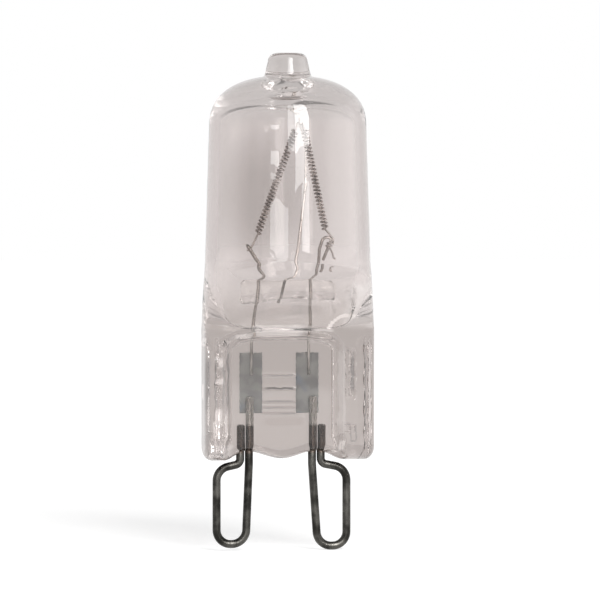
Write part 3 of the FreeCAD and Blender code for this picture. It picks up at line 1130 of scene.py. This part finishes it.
    def inside(self, mesh: bmesh.types.BMesh) -> None:
        """Grow the cavity's skin from its wedge-shaped floor to the end of the tip's bore.

        Args:
            mesh: Mesh that the skin joins.
        """
        skin = GrownSkin(self.cavity_sides, mesh)
        skin.place(self.floor_place(0.4, 0.4, 0.16))
        skin.grow(self.floor_place(0.85, 0.8, 0.1))
        for share in shares(self.wedge_steps, 0):
            skin.grow(self.wedge_place(share))
        neck, rise = self.neck()
        high = self.tube_high - self.wall
        for share in shares(self.tip_steps):
            skin.grow(level_ring(between(neck, high, share), between(rise, self.tube_top, share)))
        height = self.crown_height - self.crown_wall
        steps = self.cavity_crown_steps
        for share, (radius, level) in zip(shares(steps), self.dome(high, height, self.bore_mouth, steps)):
            skin.grow(level_ring(radius, level, self.bore_shift * share**3))
        top = self.tube_top + height
        for share in (0.35, 0.7, 1.0):
            radius = between(self.bore_mouth, self.bore_radius, share)
            skin.grow(level_ring(radius, top + self.bore_flare * share**1.5, self.bore_shift))
        end = self.bore_radius * self.bore_end
        for share in shares(self.tip_steps, 0):
            angle = math.radians(self.bore_end_angle * share)
            level = self.bore_top - end + end * math.sin(angle)
            skin.grow(level_ring(self.bore_radius * math.cos(angle), level, self.bore_shift))
        skin.gather()
        skin.cap(skin.first_edges)

    def build(self, material: bpy.types.Material, inner: bpy.types.Material) -> bpy.types.Object:
        """Build the envelope.

        Args:
            material: Finish of its outside, which carries the glass's tint.
            inner: Finish of the cavity's wall.

        Returns:
            The glass body with its cavity.
        """
        mesh = bmesh.new()
        self.outside(mesh)
        outer = set(mesh.faces)
        self.inside(mesh)
        bmesh.ops.remove_doubles(mesh, verts=mesh.verts, dist=0.0005)
        bmesh.ops.dissolve_degenerate(mesh, edges=mesh.edges, dist=0.0002)
        bmesh.ops.recalc_face_normals(mesh, faces=mesh.faces)
        cavity = [face for face in mesh.faces if face not in outer]
        bmesh.ops.reverse_faces(mesh, faces=cavity)
        for face in cavity:
            face.material_index = 1
        piece = finished_piece(mesh, "clear_envelope", material, ["quartz_envelope"], False)
        piece.data.materials.append(inner)
        return piece


def through_density(share: float) -> float:
    """Angle in the first quarter of a ring.

    Args:
        share: Share of the quarter's vertices, from 0 on the X axis to 1 on the Y axis.

    Returns:
        The angle in radians, from 0 to a right angle.
    """
    pairs = ((0.0, 0.0), (0.12, 24.0), (0.25, 38.5), (0.78, 61.0), (0.88, 72.0), (1.0, 90.0))
    for (start, low), (end, high) in zip(pairs, pairs[1:]):
        if share <= end:
            return math.radians(between(low, high, (share - start) / (end - start)))
    return math.pi / 2


@dataclass
class Mount:
    """Sizes that the mount's wires and foils share, from the middle of the seal."""

    centre: float = -0.55
    seal_bottom: float = 8.1
    foil_bottom: float = 12.35
    foil_top: float = 17.85
    foil_front: float = 0.25
    bridge_level: float = 23.3
    bridge_radius: float = 1.2
    bridge_half: float = 4.6
    lead_plane: float = 0.15
    clip_half_gap: float = 0.245

    def over_bridge(self, out: float, up: float, plane: float = 0.0) -> Vector:
        """Place at a distance from the middle of the seal and above the bridge."""
        return Vector((self.centre + out, plane, self.bridge_level + up))


LEAD_WIRE = Wire(0.14, 14)


@dataclass
class ContactLoop:
    """Looped pin: from its foil down through the glass, round the loop and back up."""

    mount: Mount
    side: Side
    lift: float
    inner: float
    wire: Wire = Wire(0.37, 24)
    width: float = 2.64
    half_pitch: float = 4.59
    leg_spacing: float = 0.8
    neck_drop: float = 0.3
    foil_overlap: float = 1.5
    outer_drop: float = 0.45
    outer_depth: float = 3.25
    neck_bend: float = 0.55
    outer_bend: float = 1.3

    def build(self, material: bpy.types.Material) -> bpy.types.Object:
        """Build the loop.

        Args:
            material: Its finish.

        Returns:
            The loop with the ends that are set in the glass.
        """
        mount = self.mount
        half = self.width / 2
        low = self.wire.radius + self.lift
        neck = mount.seal_bottom - self.neck_drop
        outer = self.inner + self.leg_spacing
        outline = (
            (self.inner, mount.foil_bottom + self.foil_overlap),
            (self.inner, neck),
            (self.half_pitch - half, low),
            (self.half_pitch + half, low),
            (self.half_pitch + half, neck - self.outer_drop),
            (outer, neck),
            (outer, mount.seal_bottom + self.outer_depth),
        )
        points = [Vector((mount.centre + self.side.value * out, 0.0, up)) for out, up in outline]
        bends = (self.neck_bend, half, half, self.outer_bend, self.neck_bend)
        mesh = self.wire.drawn(self.wire.bent(points, bends, 6.0))
        word = self.side.word
        name, node = "contact_wire_" + word, "contact_loop_" + word
        return finished_piece(mesh, name, material, [node])


@dataclass
class InnerLead:
    """Lead from its foil through the bridge to the clip or hook that holds the filament."""

    mount: Mount
    side: Side
    foot: float
    through: float
    wire: Wire = LEAD_WIRE
    foil_overlap: float = 2.1
    foil_rise: float = 1.4
    bend: float = 0.45
    clip_foot: tuple[float, float] = (-1.8, 1.7)
    clip_top: tuple[float, float] = (-3.1, 4.05)
    clip_return: float = 0.85
    hook_corners: tuple[tuple[float, float, float], ...] = (
        (3.4, 2.2, 1.0), (3.45, 3.7, 0.0), (3.8, 4.8, 0.0), (4.65, 4.75, 0.0), (3.78, 2.65, 0.0),
    )

    def clip(self) -> list[Vector]:
        """Corners of the left lead's narrow clip."""
        foot = self.mount.over_bridge(*self.clip_foot)
        top = self.mount.over_bridge(*self.clip_top)
        end = top + (foot - top) * self.clip_return
        back = Y_AXIS * self.mount.clip_half_gap
        return [foot - back, top - back, top + back, end + back]

    def hook(self) -> list[Vector]:
        """Corners of the right lead's open hook."""
        mount = self.mount
        return [mount.over_bridge(out, up, mount.lead_plane * share) for out, up, share in self.hook_corners]

    def build(self, material: bpy.types.Material) -> bpy.types.Object:
        """Build the lead.

        Args:
            material: Its finish.

        Returns:
            The lead.
        """
        mount = self.mount
        plane = mount.lead_plane
        foot = mount.centre + self.side.value * self.foot
        through = mount.centre + self.side.value * self.through
        points = [
            Vector((foot, plane, mount.foil_top - self.foil_overlap)),
            Vector((foot, plane, mount.foil_top + self.foil_rise)),
            Vector((through, plane, mount.bridge_level - mount.bridge_radius)),
            Vector((through, plane, mount.bridge_level + mount.bridge_radius)),
        ]
        points += self.clip() if self.side is Side.LEFT else self.hook()
        bends = [self.bend] * (len(points) - 2)
        if self.side is Side.LEFT:
            bends[-2:] = [mount.clip_half_gap] * 2
        mesh = self.wire.drawn(self.wire.bent(points, bends))
        word = self.side.word
        return finished_piece(mesh, "mount_lead_" + word, material, ["inner_lead_" + word])


@dataclass
class SupportWire:
    """Wire from the bridge to the filament's apex and on into the tip, where it ends in a small coil."""

    mount: Mount
    wire: Wire = LEAD_WIRE
    foot: float = -0.94
    lean: float = 0.57
    bend: float = 0.5
    eye_bend: float = 0.16
    apex: tuple[float, float] = (1.1, 38.3)
    rise_end: tuple[float, float] = (0.65, -1.1)
    rise_middle: float = 0.65
    setback: float = 0.62
    arm: float = 0.35
    tail: float = 1.0
    coil_start: tuple[float, float, float] = (0.35, 0.0, 40.75)
    coil_height: float = 1.44
    coil_radius: float = 0.34
    coil_pitch: float = 0.36
    coil_steps: int = 24

    def build(self, material: bpy.types.Material) -> bpy.types.Object:
        """Build the wire.

        Args:
            material: Its finish.

        Returns:
            The support wire.
        """
        low = self.mount.bridge_level - self.mount.bridge_radius
        high = self.mount.bridge_level + self.mount.bridge_radius
        out, level = self.apex
        top = self.foot + self.lean
        rise = Vector((out + self.rise_end[0], self.setback, level + self.rise_end[1]))
        points = [
            Vector((self.foot, 0.0, low - 0.35)),
            Vector((top, 0.0, high + 0.1)),
            Vector((top + 0.9, 0.0, high + 0.5)),
            Vector((top + 1.35, self.setback / 3, high + 2.5)),
            Vector((rise.x, self.setback, between(high, rise.z, self.rise_middle))),
            rise,
            Vector((out, self.setback, level)),
            Vector((out, -self.arm, level)),
            Vector((out, -self.arm, level + self.tail)),
        ]
        start = Vector(self.coil_start)
        end = start + Z_AXIS * self.coil_height
        coil = self.wire.coiled(start, end, self.coil_radius, self.coil_pitch, -Y_AXIS, 0.0, self.coil_steps)
        points.append(coil[0] - (coil[3] - coil[0]) * 0.5 - Z_AXIS * 0.1)
        stations = self.wire.bent(points, [self.bend] * 4 + [self.eye_bend] * 4)
        mesh = self.wire.drawn(stations + self.wire.directed(coil))
        return finished_piece(mesh, "apex_support", material, ["support_wire"])


@dataclass
class Filament:
    """Coiled tungsten filament in a narrow V, held at the apex, the clip and the hook."""

    mount: Mount
    left_lead: InnerLead
    right_lead: InnerLead
    support: SupportWire
    wire: Wire = Wire(0.085, 8)
    clearance: float = 0.02
    coil_radius: float = 0.265
    pitch: float = 0.32
    steps: int = 20
    spread: float = 0.42
    head_drop: float = 0.6
    left_foot: tuple[float, float] = (-2.72, 1.05)
    right_foot: tuple[float, float] = (3.44, 0.75)
    grip_drop: float = 0.5
    wrap_drop: float = 0.45
    wrap_length: float = 0.6
    wrap_pitch: float = 0.3
    free_end: tuple[tuple[float, float], ...] = ((0.14, 0.25), (0.24, 0.6), (0.29, 0.85), (0.5, 1.0))
    free_back: float = 0.05
    grip_end: tuple[float, float, float] = (-0.3, 0.0, -0.1)
    wrap_entry: tuple[float, float, float] = (0.05, -0.08, 0.35)

    def leg(self, start: Vector, end: Vector) -> list[Vector]:
        """Points of one coiled leg between two places."""
        return self.wire.coiled(
            start, end, self.coil_radius, self.pitch, X_AXIS, -math.pi / 2, self.steps
        )

    def clip_grip(self) -> tuple[Vector, float]:
        """Where the clip holds the tail.

        Returns:
            Place of the grip, and height of the clip's top.
        """
        clip = self.left_lead.clip()
        top = (clip[1] + clip[2]) / 2
        foot = Vector(((clip[0].x + clip[3].x) / 2, 0.0, (clip[0].z + clip[3].z) / 2))
        return top + (foot - top).normalized() * self.grip_drop, top.z

    def hook_wrap(self, hook: Sequence[Vector], touch: float) -> list[Vector]:
        """Turns of the tail round the hook.

        Args:
            hook: Corners of the hook.
            touch: Distance of the tail's middle from the hook's surface.

        Returns:
            The points of the wrap and of its free end.
        """
        down = (hook[-1] - hook[-2]).normalized()
        start = hook[-2] + down * self.wrap_drop
        radius = self.right_lead.wire.radius + touch
        end = start + down * self.wrap_length
        wrap = self.wire.coiled(start, end, radius, self.wrap_pitch, X_AXIS, 0.0, self.steps)
        return wrap + [wrap[-1] + Vector((across, self.free_back, -drop)) for across, drop in self.free_end]

    def build(self, material: bpy.types.Material) -> bpy.types.Object:
        """Build the filament.

        Args:
            material: Its finish.

        Returns:
            The filament as one wire from tail to tail.
        """
        touch = self.wire.radius + self.clearance
        out, level = self.support.apex
        head = level - self.head_drop
        grip, clip_level = self.clip_grip()
        left_foot = Vector((self.left_foot[0], 0.0, clip_level + self.left_foot[1]))
        left = self.leg(left_foot, Vector((out - self.spread, 0.0, head)))
        start = [
            grip + Vector(self.grip_end),
            grip,
            left[0] - (left[3] - left[0]) * 0.5 - Z_AXIS * 0.2,
        ]
        seat = self.support.wire.radius + touch
        turns = [math.radians(angle) for angle in range(150, 29, -20)]
        apex = [Vector((out + seat * math.cos(turn), 0.0, level + seat * math.sin(turn))) for turn in turns]
        hook = self.right_lead.hook()
        right_foot = Vector((self.right_foot[0], 0.0, hook[-2].z + self.right_foot[1]))
        right = self.leg(Vector((out + self.spread, 0.0, head)), right_foot)
        wrap = self.hook_wrap(hook, touch)
        tail = [
            right[-1] + (right[-1] - right[-4]) * 0.5 - Z_AXIS * 0.05,
            wrap[0] + Vector(self.wrap_entry),
        ]
        mesh = self.wire.drawn(self.wire.directed(start + left + apex + right + tail + wrap))
        return finished_piece(mesh, "coiled_filament", material, ["filament"])


@dataclass
class Foil:
    """Thin sealing foil with feathered edges and a slightly ragged top."""

    mount: Mount
    side: Side
    offset: float
    width: float = 2.05
    thickness: float = 0.05
    columns: int = 24
    rows: int = 48
    tears: tuple[tuple[float, float], ...] = ((0.13, 23.0), (0.08, 61.0))
    tear_reach: float = 0.1
    feather: tuple[float, float] = (0.02, 61.0)

    def ragged(self, across: float) -> float:
        """Depth of the ragged top edge at a place across the foil."""
        (broad, broad_rate), (fine, fine_rate) = self.tears
        turn = self.side.value
        return abs(broad * math.sin(broad_rate * across + turn) + fine * math.sin(fine_rate * across))

    def build(self, material: bpy.types.Material) -> bpy.types.Object:
        """Build the foil.

        Args:
            material: Its finish.

        Returns:
            The foil.
        """
        mount = self.mount
        centre = mount.centre + self.offset
        mesh = bmesh.new()
        bmesh.ops.create_grid(mesh, x_segments=self.columns, y_segments=self.rows, size=0.5)
        length = mount.foil_top - mount.foil_bottom
        middle = mount.foil_front + self.thickness / 2
        depth, rate = self.feather
        for vert in mesh.verts:
            across, up = vert.co.x, vert.co.y + 0.5
            edge = depth * math.sin(rate * up + self.side.value) * (abs(across) > 0.49)
            near_top = smooth_step((up - 1.0 + self.tear_reach) / self.tear_reach)
            height = mount.foil_bottom + length * up - self.ragged(across) * near_top
            x = centre + self.width * across - edge * math.copysign(1.0, across)
            vert.co = Vector((x, middle, height))
        mesh.normal_update()
        bmesh.ops.solidify(mesh, geom=mesh.faces, thickness=self.thickness)
        low = min(vert.co.y for vert in mesh.verts)
        bmesh.ops.translate(mesh, verts=mesh.verts, vec=Vector((0.0, mount.foil_front - low, 0.0)))
        word = self.side.word
        return finished_piece(mesh, "etched_foil_" + word, material, ["foil_" + word])


@dataclass
class Bridge:
    """Quartz rod across the cavity, swollen round each wire that is sealed through it."""

    mount: Mount
    sides: int = 48
    rounding: float = 0.5
    bead: float = 0.13
    bead_reach: float = 0.75
    leads: tuple[float, float] = (-2.97, 2.15)

    def build(self, material: bpy.types.Material) -> bpy.types.Object:
        """Build the bridge.

        Args:
            material: Its finish.

        Returns:
            The rod.
        """
        mount = self.mount
        skin = GrownSkin(self.sides)
        inset = -mount.bridge_half + self.rounding
        flat = mount.bridge_radius - self.rounding

        def across(x: float, radius: float) -> Ring:
            """Ring of the rod at a place on its length."""
            return ring_about(Vector((x, 0.0, mount.bridge_level)), X_AXIS, Y_AXIS, radius)

        left = []
        for share in shares(8, 0):
            angle = math.pi / 2 * share
            left.append((inset - self.rounding * math.cos(angle), flat + self.rounding * math.sin(angle)))
        left += [(between(inset, 0.0, share), mount.bridge_radius) for share in shares(24)]
        outline = left + [(-x, radius) for x, radius in reversed(left[:-1])]
        skin.place(across(*outline[0]))
        for x, radius in outline[1:]:
            bead = sum(hump(x - lead, self.bead_reach) for lead in self.leads)
            skin.grow(across(x, radius + self.bead * bead))
        skin.cap(skin.first_edges)
        skin.cap(skin.edges)
        return finished_piece(skin.mesh, "glass_bridge", material, ["quartz_bridge"])


@dataclass(frozen=True)
class Window:
    """Tall soft lamp, as a window beside the camera would be.

    Its azimuths are in degrees right of the camera, its levels and distance in metres, and its
    glow is the brightness beside a white surface.
    """

    name: str
    azimuths: tuple[float, float]
    levels: tuple[float, float]
    away: float
    glow: float


WINDOWS = (
    Window("tall_window", (10.4, 31.0), (0.067, 0.5), 0.41, 13.0),
    Window("slim_window", (0.5, 9.6), (0.067, 0.5), 0.41, 5.5),
    Window("right_ledge", (11.0, 28.0), (0.0605, 0.067), 0.41, 6.5),
    Window("right_sill", (20.0, 30.5), (0.03, 0.0605), 0.41, 6.0),
    Window("left_window", (-24.0, 1.0), (0.03, 0.0605), 0.45, 4.5),
    Window("left_pane", (-24.0, -12.0), (0.0672, 0.07), 0.45, 6.0),
    Window("left_spot", (-24.0, -16.0), (0.064, 0.066), 0.45, 4.0),
)


@dataclass(frozen=True)
class Studio:
    """Pale floor, white surroundings, soft lamps and the camera.

    Its seams are narrow dark strips that the glass bends into view. Its reflections give an
    azimuth from the camera, the angles where each is full and gone, and its glow.
    """

    azimuth: float = -10.0
    elevation: float = 1.0
    distance: float = 0.4
    frame_width: float = 600.0 / 11.15 * MILLIMETRE
    aim_right: float = 1.103 * MILLIMETRE
    aim_level: float = 22.47 * MILLIMETRE
    sensor: float = 36.0
    seam_count: float = 8.0
    seam_glow: float = 0.25
    glint_glow: float = 5.0
    base_glow: float = 0.85
    reflections: tuple[tuple[float, float, float, float], ...] = (
        (92.0, 8.0, 42.0, 1.35), (-90.0, 5.0, 35.0, 0.3), (-48.0, 12.0, 34.0, -0.7),
    )
    near_glow: float = 0.62
    far_glow: float = 0.8
    soft_light: float = 0.4

    def direction(self, azimuth: float, elevation: float) -> Vector:
        """Direction from the bulb to a viewer or lamp, with both angles in degrees."""
        turn, rise = math.radians(azimuth), math.radians(elevation)
        return Vector((math.sin(turn) * math.cos(rise), -math.cos(turn) * math.cos(rise), math.sin(rise)))

    def camera(self) -> None:
        """Place the camera at the photograph's angle."""
        lens = bpy.data.cameras.new("studio_camera")
        lens.sensor_width = self.sensor
        lens.lens = self.sensor * self.distance / self.frame_width
        lens.clip_start, lens.clip_end = 0.01, 50.0
        body = bpy.data.objects.new("studio_camera", lens)
        turn = math.radians(self.azimuth)
        right = Vector((math.cos(turn), math.sin(turn), 0.0))
        aim = right * self.aim_right + Z_AXIS * self.aim_level
        back = self.direction(self.azimuth, self.elevation)
        body.location = aim + back * self.distance
        body.rotation_euler = (-back).to_track_quat("-Z", "Y").to_euler()
        bpy.context.collection.objects.link(body)
        bpy.context.scene.camera = body

    def hang(self, window: Window) -> None:
        """Place one soft lamp.

        Args:
            window: Its place, size and glow.
        """
        lamp = bpy.data.lights.new(window.name, "AREA")
        lamp.shape = "RECTANGLE"
        start, end = window.azimuths
        low, high = window.levels
        lamp.size = 2.0 * window.away * math.tan(math.radians((end - start) / 2))
        lamp.size_y = high - low
        lamp.energy = window.glow * math.pi * lamp.size * lamp.size_y
        body = bpy.data.objects.new(window.name, lamp)
        out = self.direction(self.azimuth + (start + end) / 2, 0.0)
        body.location = out * window.away + Z_AXIS * ((low + high) / 2)
        body.rotation_euler = (-out).to_track_quat("-Z", "Y").to_euler()
        body.visible_camera = False
        body.visible_transmission = False
        bpy.context.collection.objects.link(body)

    def surroundings(self) -> None:
        """White surroundings with darker seams, a bright side and a dim front for reflections."""
        world = bpy.data.worlds.new("white_surroundings")
        bpy.context.scene.world = world
        world.use_nodes = True
        board = NodeBoard(world.node_tree)
        path = board.add("ShaderNodeLightPath").outputs
        towards = board.add("ShaderNodeTexCoord").outputs["Generated"]
        axes = board.add("ShaderNodeSeparateXYZ", {0: towards}).outputs

        def near(azimuth: float, inner: float, outer: float) -> bpy.types.NodeSocket:
            """Share of a level direction.

            Args:
                azimuth: The direction, in degrees from the camera's.
                inner: Angle within which the share is 1.
                outer: Angle beyond which the share is 0.

            Returns:
                The share.
            """
            middle = self.direction(self.azimuth + azimuth, 0.0)
            turned = board.vector("DOT_PRODUCT", {0: towards, 1: middle}, "Value")
            return board.ramp(turned, math.cos(math.radians(outer)), math.cos(math.radians(inner)))

        azimuth = board.maths("ARCTAN2", axes[0], board.maths("MULTIPLY", axes[1], -1.0))
        turned = board.maths("SUBTRACT", azimuth, math.pi / self.seam_count)
        wave = board.maths("COSINE", board.maths("MULTIPLY", turned, self.seam_count))
        seam = board.ramp(wave, 0.3, 0.75)
        behind = near(180.0, 40.0, 46.0)
        ahead = near(10.0, 40.0, 46.0)
        low = board.ramp(axes[2], 0.55, 0.7, 1.0, 0.0)
        beside = board.maths("SUBTRACT", 1.0, board.maths("MAXIMUM", behind, ahead))
        through = board.plus(1.0, board.maths("MULTIPLY", seam, beside), self.seam_glow - 1.0)
        glint = board.maths("MULTIPLY", board.maths("MULTIPLY", seam, ahead), low)
        through = board.plus(through, glint, self.glint_glow)
        mirrored = self.base_glow
        for middle, inner, outer, glow in self.reflections:
            mirrored = board.plus(mirrored, near(middle, inner, outer), glow)
        mirrored = board.maths("SUBTRACT", mirrored, board.ramp(axes[2], 0.25, 0.8, 0.0, 0.45))
        glossy = board.maths("MULTIPLY", path["Is Glossy Ray"], mirrored)
        through = board.maths("MULTIPLY", path["Is Transmission Ray"], through)
        seen = board.maths("MAXIMUM", board.maths("MAXIMUM", glossy, through), path["Is Camera Ray"])
        soft = board.maths("MULTIPLY", self.soft_light, path["Is Diffuse Ray"])
        strength = board.maths("MAXIMUM", seen, soft)
        board.feed(world.node_tree.nodes["Background"], {"Color": WHITE, "Strength": strength})

    def floor(self) -> None:
        """Pale floor that keeps a soft shadow."""
        mesh = bmesh.new()
        bmesh.ops.create_grid(mesh, x_segments=1, y_segments=1, size=3.0)
        data = bpy.data.meshes.new("studio_floor")
        mesh.to_mesh(data)
        mesh.free()
        board = MaterialBoard("pale_floor")
        path = board.add("ShaderNodeLightPath").outputs
        away = board.vector("LENGTH", {0: board.place}, "Value")
        near = board.ramp(away, 0.03, 0.16, self.near_glow, self.far_glow)
        seen = board.maths("MULTIPLY", near, path["Is Camera Ray"])
        mirrored = board.maths("MAXIMUM", path["Is Glossy Ray"], path["Is Transmission Ray"])
        mirrored = board.maths("MULTIPLY", mirrored, self.far_glow)
        data.materials.append(board.finish({
            "Base Color": (0.55, 0.55, 0.55, 1.0),
            "Roughness": 1.0,
            "Specular IOR Level": 0.0,
            "Emission Color": WHITE,
            "Emission Strength": board.maths("MAXIMUM", seen, mirrored),
        }))
        floor = bpy.data.objects.new("studio_floor", data)
        bpy.context.collection.objects.link(floor)

    def build(self) -> None:
        """Set up camera, surroundings, floor and lamps."""
        self.camera()
        self.surroundings()
        self.floor()
        for window in WINDOWS:
            self.hang(window)
        scene = bpy.context.scene
        scene.view_settings.view_transform = "Standard"
        scene.cycles.max_bounces = 48
        scene.cycles.transmission_bounces = 48
        scene.cycles.glossy_bounces = 32


def face_marks(face: tuple[float, float], rows: Sequence[tuple[float, ...]]) -> list[PaintedLightMark]:
    """Marks of painted shade and painted highlight on a face that looks forward.

    Args:
        face: Depth of the face and how far to each side of it a mark reaches.
        rows: X, Z, half width, half height and tone of each mark.

    Returns:
        The marks.
    """
    depth, reach = face
    return [PaintedLightMark((x, depth, z), (wide, reach, high), tone) for x, z, wide, high, tone in rows]


def edge_marks(rows: Sequence[tuple[float, ...]]) -> list[PaintedLightMark]:
    """Marks of painted shade and painted highlight on the left narrow side of the seal.

    Args:
        rows: Y, Z, half depth, half height and tone of each mark.

    Returns:
        The marks.
    """
    return [PaintedLightMark((-7.7, y, z), (0.5, deep, high), tone) for y, z, deep, high, tone in rows]


def arch_marks() -> list[PaintedLightMark]:
    """Painted highlight: a bright arch of small marks over the right flange."""
    turns = (1.25, 1.42, 1.59, 1.76, 1.93, 2.1, 2.27, 2.44, 2.61, 2.78)
    places = [(5.1 + 1.95 * math.cos(turn), 19.5 + 1.6 * math.sin(turn)) for turn in turns]
    return [PaintedLightMark((x, -2.9, z), (0.26, 1.3, 0.19), 0.98) for x, z in places]


FRONT, WEB, RECESS_TOP = (-2.6, 1.1), (-1.3, 0.5), (-1.9, 1.2)
# Painted light and shade in the quartz's tint: dark marks are painted shade, bright marks painted highlights.
PAINTED_LIGHT_MARKS = (
    # Painted shade over the crown and the tip.
    PaintedLightMark((0.0, 0.0, 46.2), (30.0, 30.0, 8.6), 0.56),
    PaintedLightMark((0.0, 0.0, 46.0), (30.0, 30.0, 4.4), 0.5),
    # Painted shade lines along the web's ridges.
    *face_marks(WEB, (
        (-0.9, 14.6, 1.7, 0.12, 0.1),
        (-0.8, 15.78, 1.5, 0.075, 0.26),
        (-1.0, 13.43, 1.55, 0.075, 0.29),
        (-1.4, 12.87, 1.1, 0.06, 0.33),
        (-0.2, 12.34, 0.9, 0.07, 0.3),
    )),
    # Painted highlights along the top of the recess.
    *face_marks(RECESS_TOP, (
        (-1.2, 19.75, 2.8, 0.65, 0.9),
        (-0.3, 19.7, 1.5, 0.42, 0.98),
        (-4.4, 19.25, 0.9, 0.28, 0.95),
        (2.9, 19.85, 1.0, 0.13, 0.85),
    )),
    # Painted highlight band down the right flange, and a painted highlight speck at its foot.
    PaintedLightMark((4.55, -2.0, 14.4), (0.34, 1.2, 4.8), 0.6),
    PaintedLightMark((4.6, -2.0, 9.5), (0.2, 1.2, 0.55), 0.98),
    # Painted shade down the right groove, round the dent and beside the edge, with a painted highlight on the
    # edge.
    *face_marks(FRONT, (
        (5.47, 16.0, 0.21, 2.2, 0.2),
        (5.26, 10.5, 0.09, 0.8, 0.24),
        (5.76, 10.5, 0.09, 0.8, 0.24),
        (5.5, 9.85, 0.3, 0.1, 0.24),
        (6.68, 14.2, 0.1, 4.9, 0.24),
        (7.1, 14.2, 0.17, 5.2, 0.85),
    )),
    # Painted light on the right shoulder.
    PaintedLightMark((6.1, -2.6, 22.0), (1.9, 3.0, 2.4), 0.66),
    # Painted highlight arching over the right flange.
    *arch_marks(),
    # Painted shade lines and painted highlights on the left flange's face.
    *face_marks(FRONT, (
        (-5.81, 15.6, 0.14, 3.6, 0.17),
        (-6.85, 15.1, 0.14, 2.9, 0.24),
        (-6.2, 15.0, 0.12, 2.5, 0.26),
        (-7.4, 14.5, 0.12, 4.6, 0.48),
        (-6.45, 16.95, 0.26, 0.5, 0.98),
        (-6.5, 15.25, 0.3, 0.35, 0.98),
        (-6.6, 12.1, 0.36, 0.9, 0.98),
        (-6.8, 10.9, 0.38, 0.9, 0.98),
        (-5.95, 11.3, 0.13, 1.4, 0.95),
        (-5.6, 9.5, 0.13, 0.5, 0.95),
    )),
    # Painted highlight at the left flange's lower corner.
    PaintedLightMark((-6.3, -1.6, 9.0), (1.3, 2.0, 0.7), 0.72),
    # Painted shade and painted highlights on the left narrow side.
    *edge_marks((
        (0.0, 13.6, 3.2, 6.0, 0.32),
        (-1.43, 14.9, 0.5, 3.0, 0.18),
        (0.1, 14.3, 0.7, 0.8, 0.9),
        (-0.5, 18.75, 1.1, 0.45, 0.98),
        (1.1, 12.2, 0.6, 3.4, 0.2),
    )),
)
QUARTZ = QuartzFinish("warm_quartz", (0.61, 0.55, 0.535, 1.0), (0.43, 0.382, 0.363, 1.0), marks=PAINTED_LIGHT_MARKS)
# The cavity wall carries a patch of painted shade around the filament's left leg.
CAVITY_QUARTZ = QuartzFinish("inner_quartz", WHITE, painted_shade=(0.77, 0.765, 0.755, 1.0))
BRIDGE_QUARTZ = QuartzFinish("bridge_quartz", (0.97, 0.96, 0.95, 1.0))
# In the contact wire, the part sealed in the glass turns browner above 8.8 mm, and above 11.3 mm a silvery
# tone is a painted reflection.
CONTACT = WireFinish(
    "oxidised_contact_wire", (0.09, 0.086, 0.078, 1.0), (0.016, 0.015, 0.013, 1.0),
    ((0.0088, (0.11, 0.085, 0.07, 1.0)), (0.0113, (0.6, 0.59, 0.56, 1.0))),
    smoothest=0.18, roughest=0.4,
)
LEAD = WireFinish(
    "bright_lead_wire", (0.8, 0.8, 0.78, 1.0), (0.4, 0.4, 0.39, 1.0),
    (
        (0.0202, (0.44, 0.41, 0.385, 1.0)),
        (0.0248, (0.34, 0.315, 0.295, 1.0)),
        (0.0277, (0.5, 0.47, 0.44, 1.0)),
    ),
    metallic=0.95, smoothest=0.1, roughest=0.3,
)
SUPPORT = WireFinish(
    "support_wire_metal", (0.36, 0.335, 0.315, 1.0), (0.17, 0.155, 0.145, 1.0),
    ((0.0245, (0.74, 0.71, 0.68, 1.0)),),
    metallic=0.95, smoothest=0.1, roughest=0.3,
)
TUNGSTEN = WireFinish("tungsten_wire", (0.6, 0.55, 0.52, 1.0), (0.31, 0.28, 0.265, 1.0))


def main() -> None:
    """Set up the studio and build every piece of the bulb."""
    logging.basicConfig(level=logging.INFO, format="%(name)s: %(message)s")
    Studio().build()
    mount = Mount()
    Envelope(Seal()).build(QUARTZ.material(), CAVITY_QUARTZ.material())
    Bridge(mount).build(BRIDGE_QUARTZ.material())
    contact = CONTACT.material()
    ContactLoop(mount, Side.LEFT, 0.25, 2.98).build(contact)
    ContactLoop(mount, Side.RIGHT, 0.0, 2.76).build(contact)
    foil = FoilFinish().material()
    Foil(mount, Side.LEFT, -2.84).build(foil)
    Foil(mount, Side.RIGHT, 2.28).build(foil)
    lead = LEAD.material()
    left = InnerLead(mount, Side.LEFT, 2.8, 2.42)
    right = InnerLead(mount, Side.RIGHT, 2.4, 2.7)
    left.build(lead)
    right.build(lead)
    support = SupportWire(mount)
    support.build(SUPPORT.material())
    Filament(mount, left, right, support).build(TUNGSTEN.material())


if __name__ == "__main__":
    main()
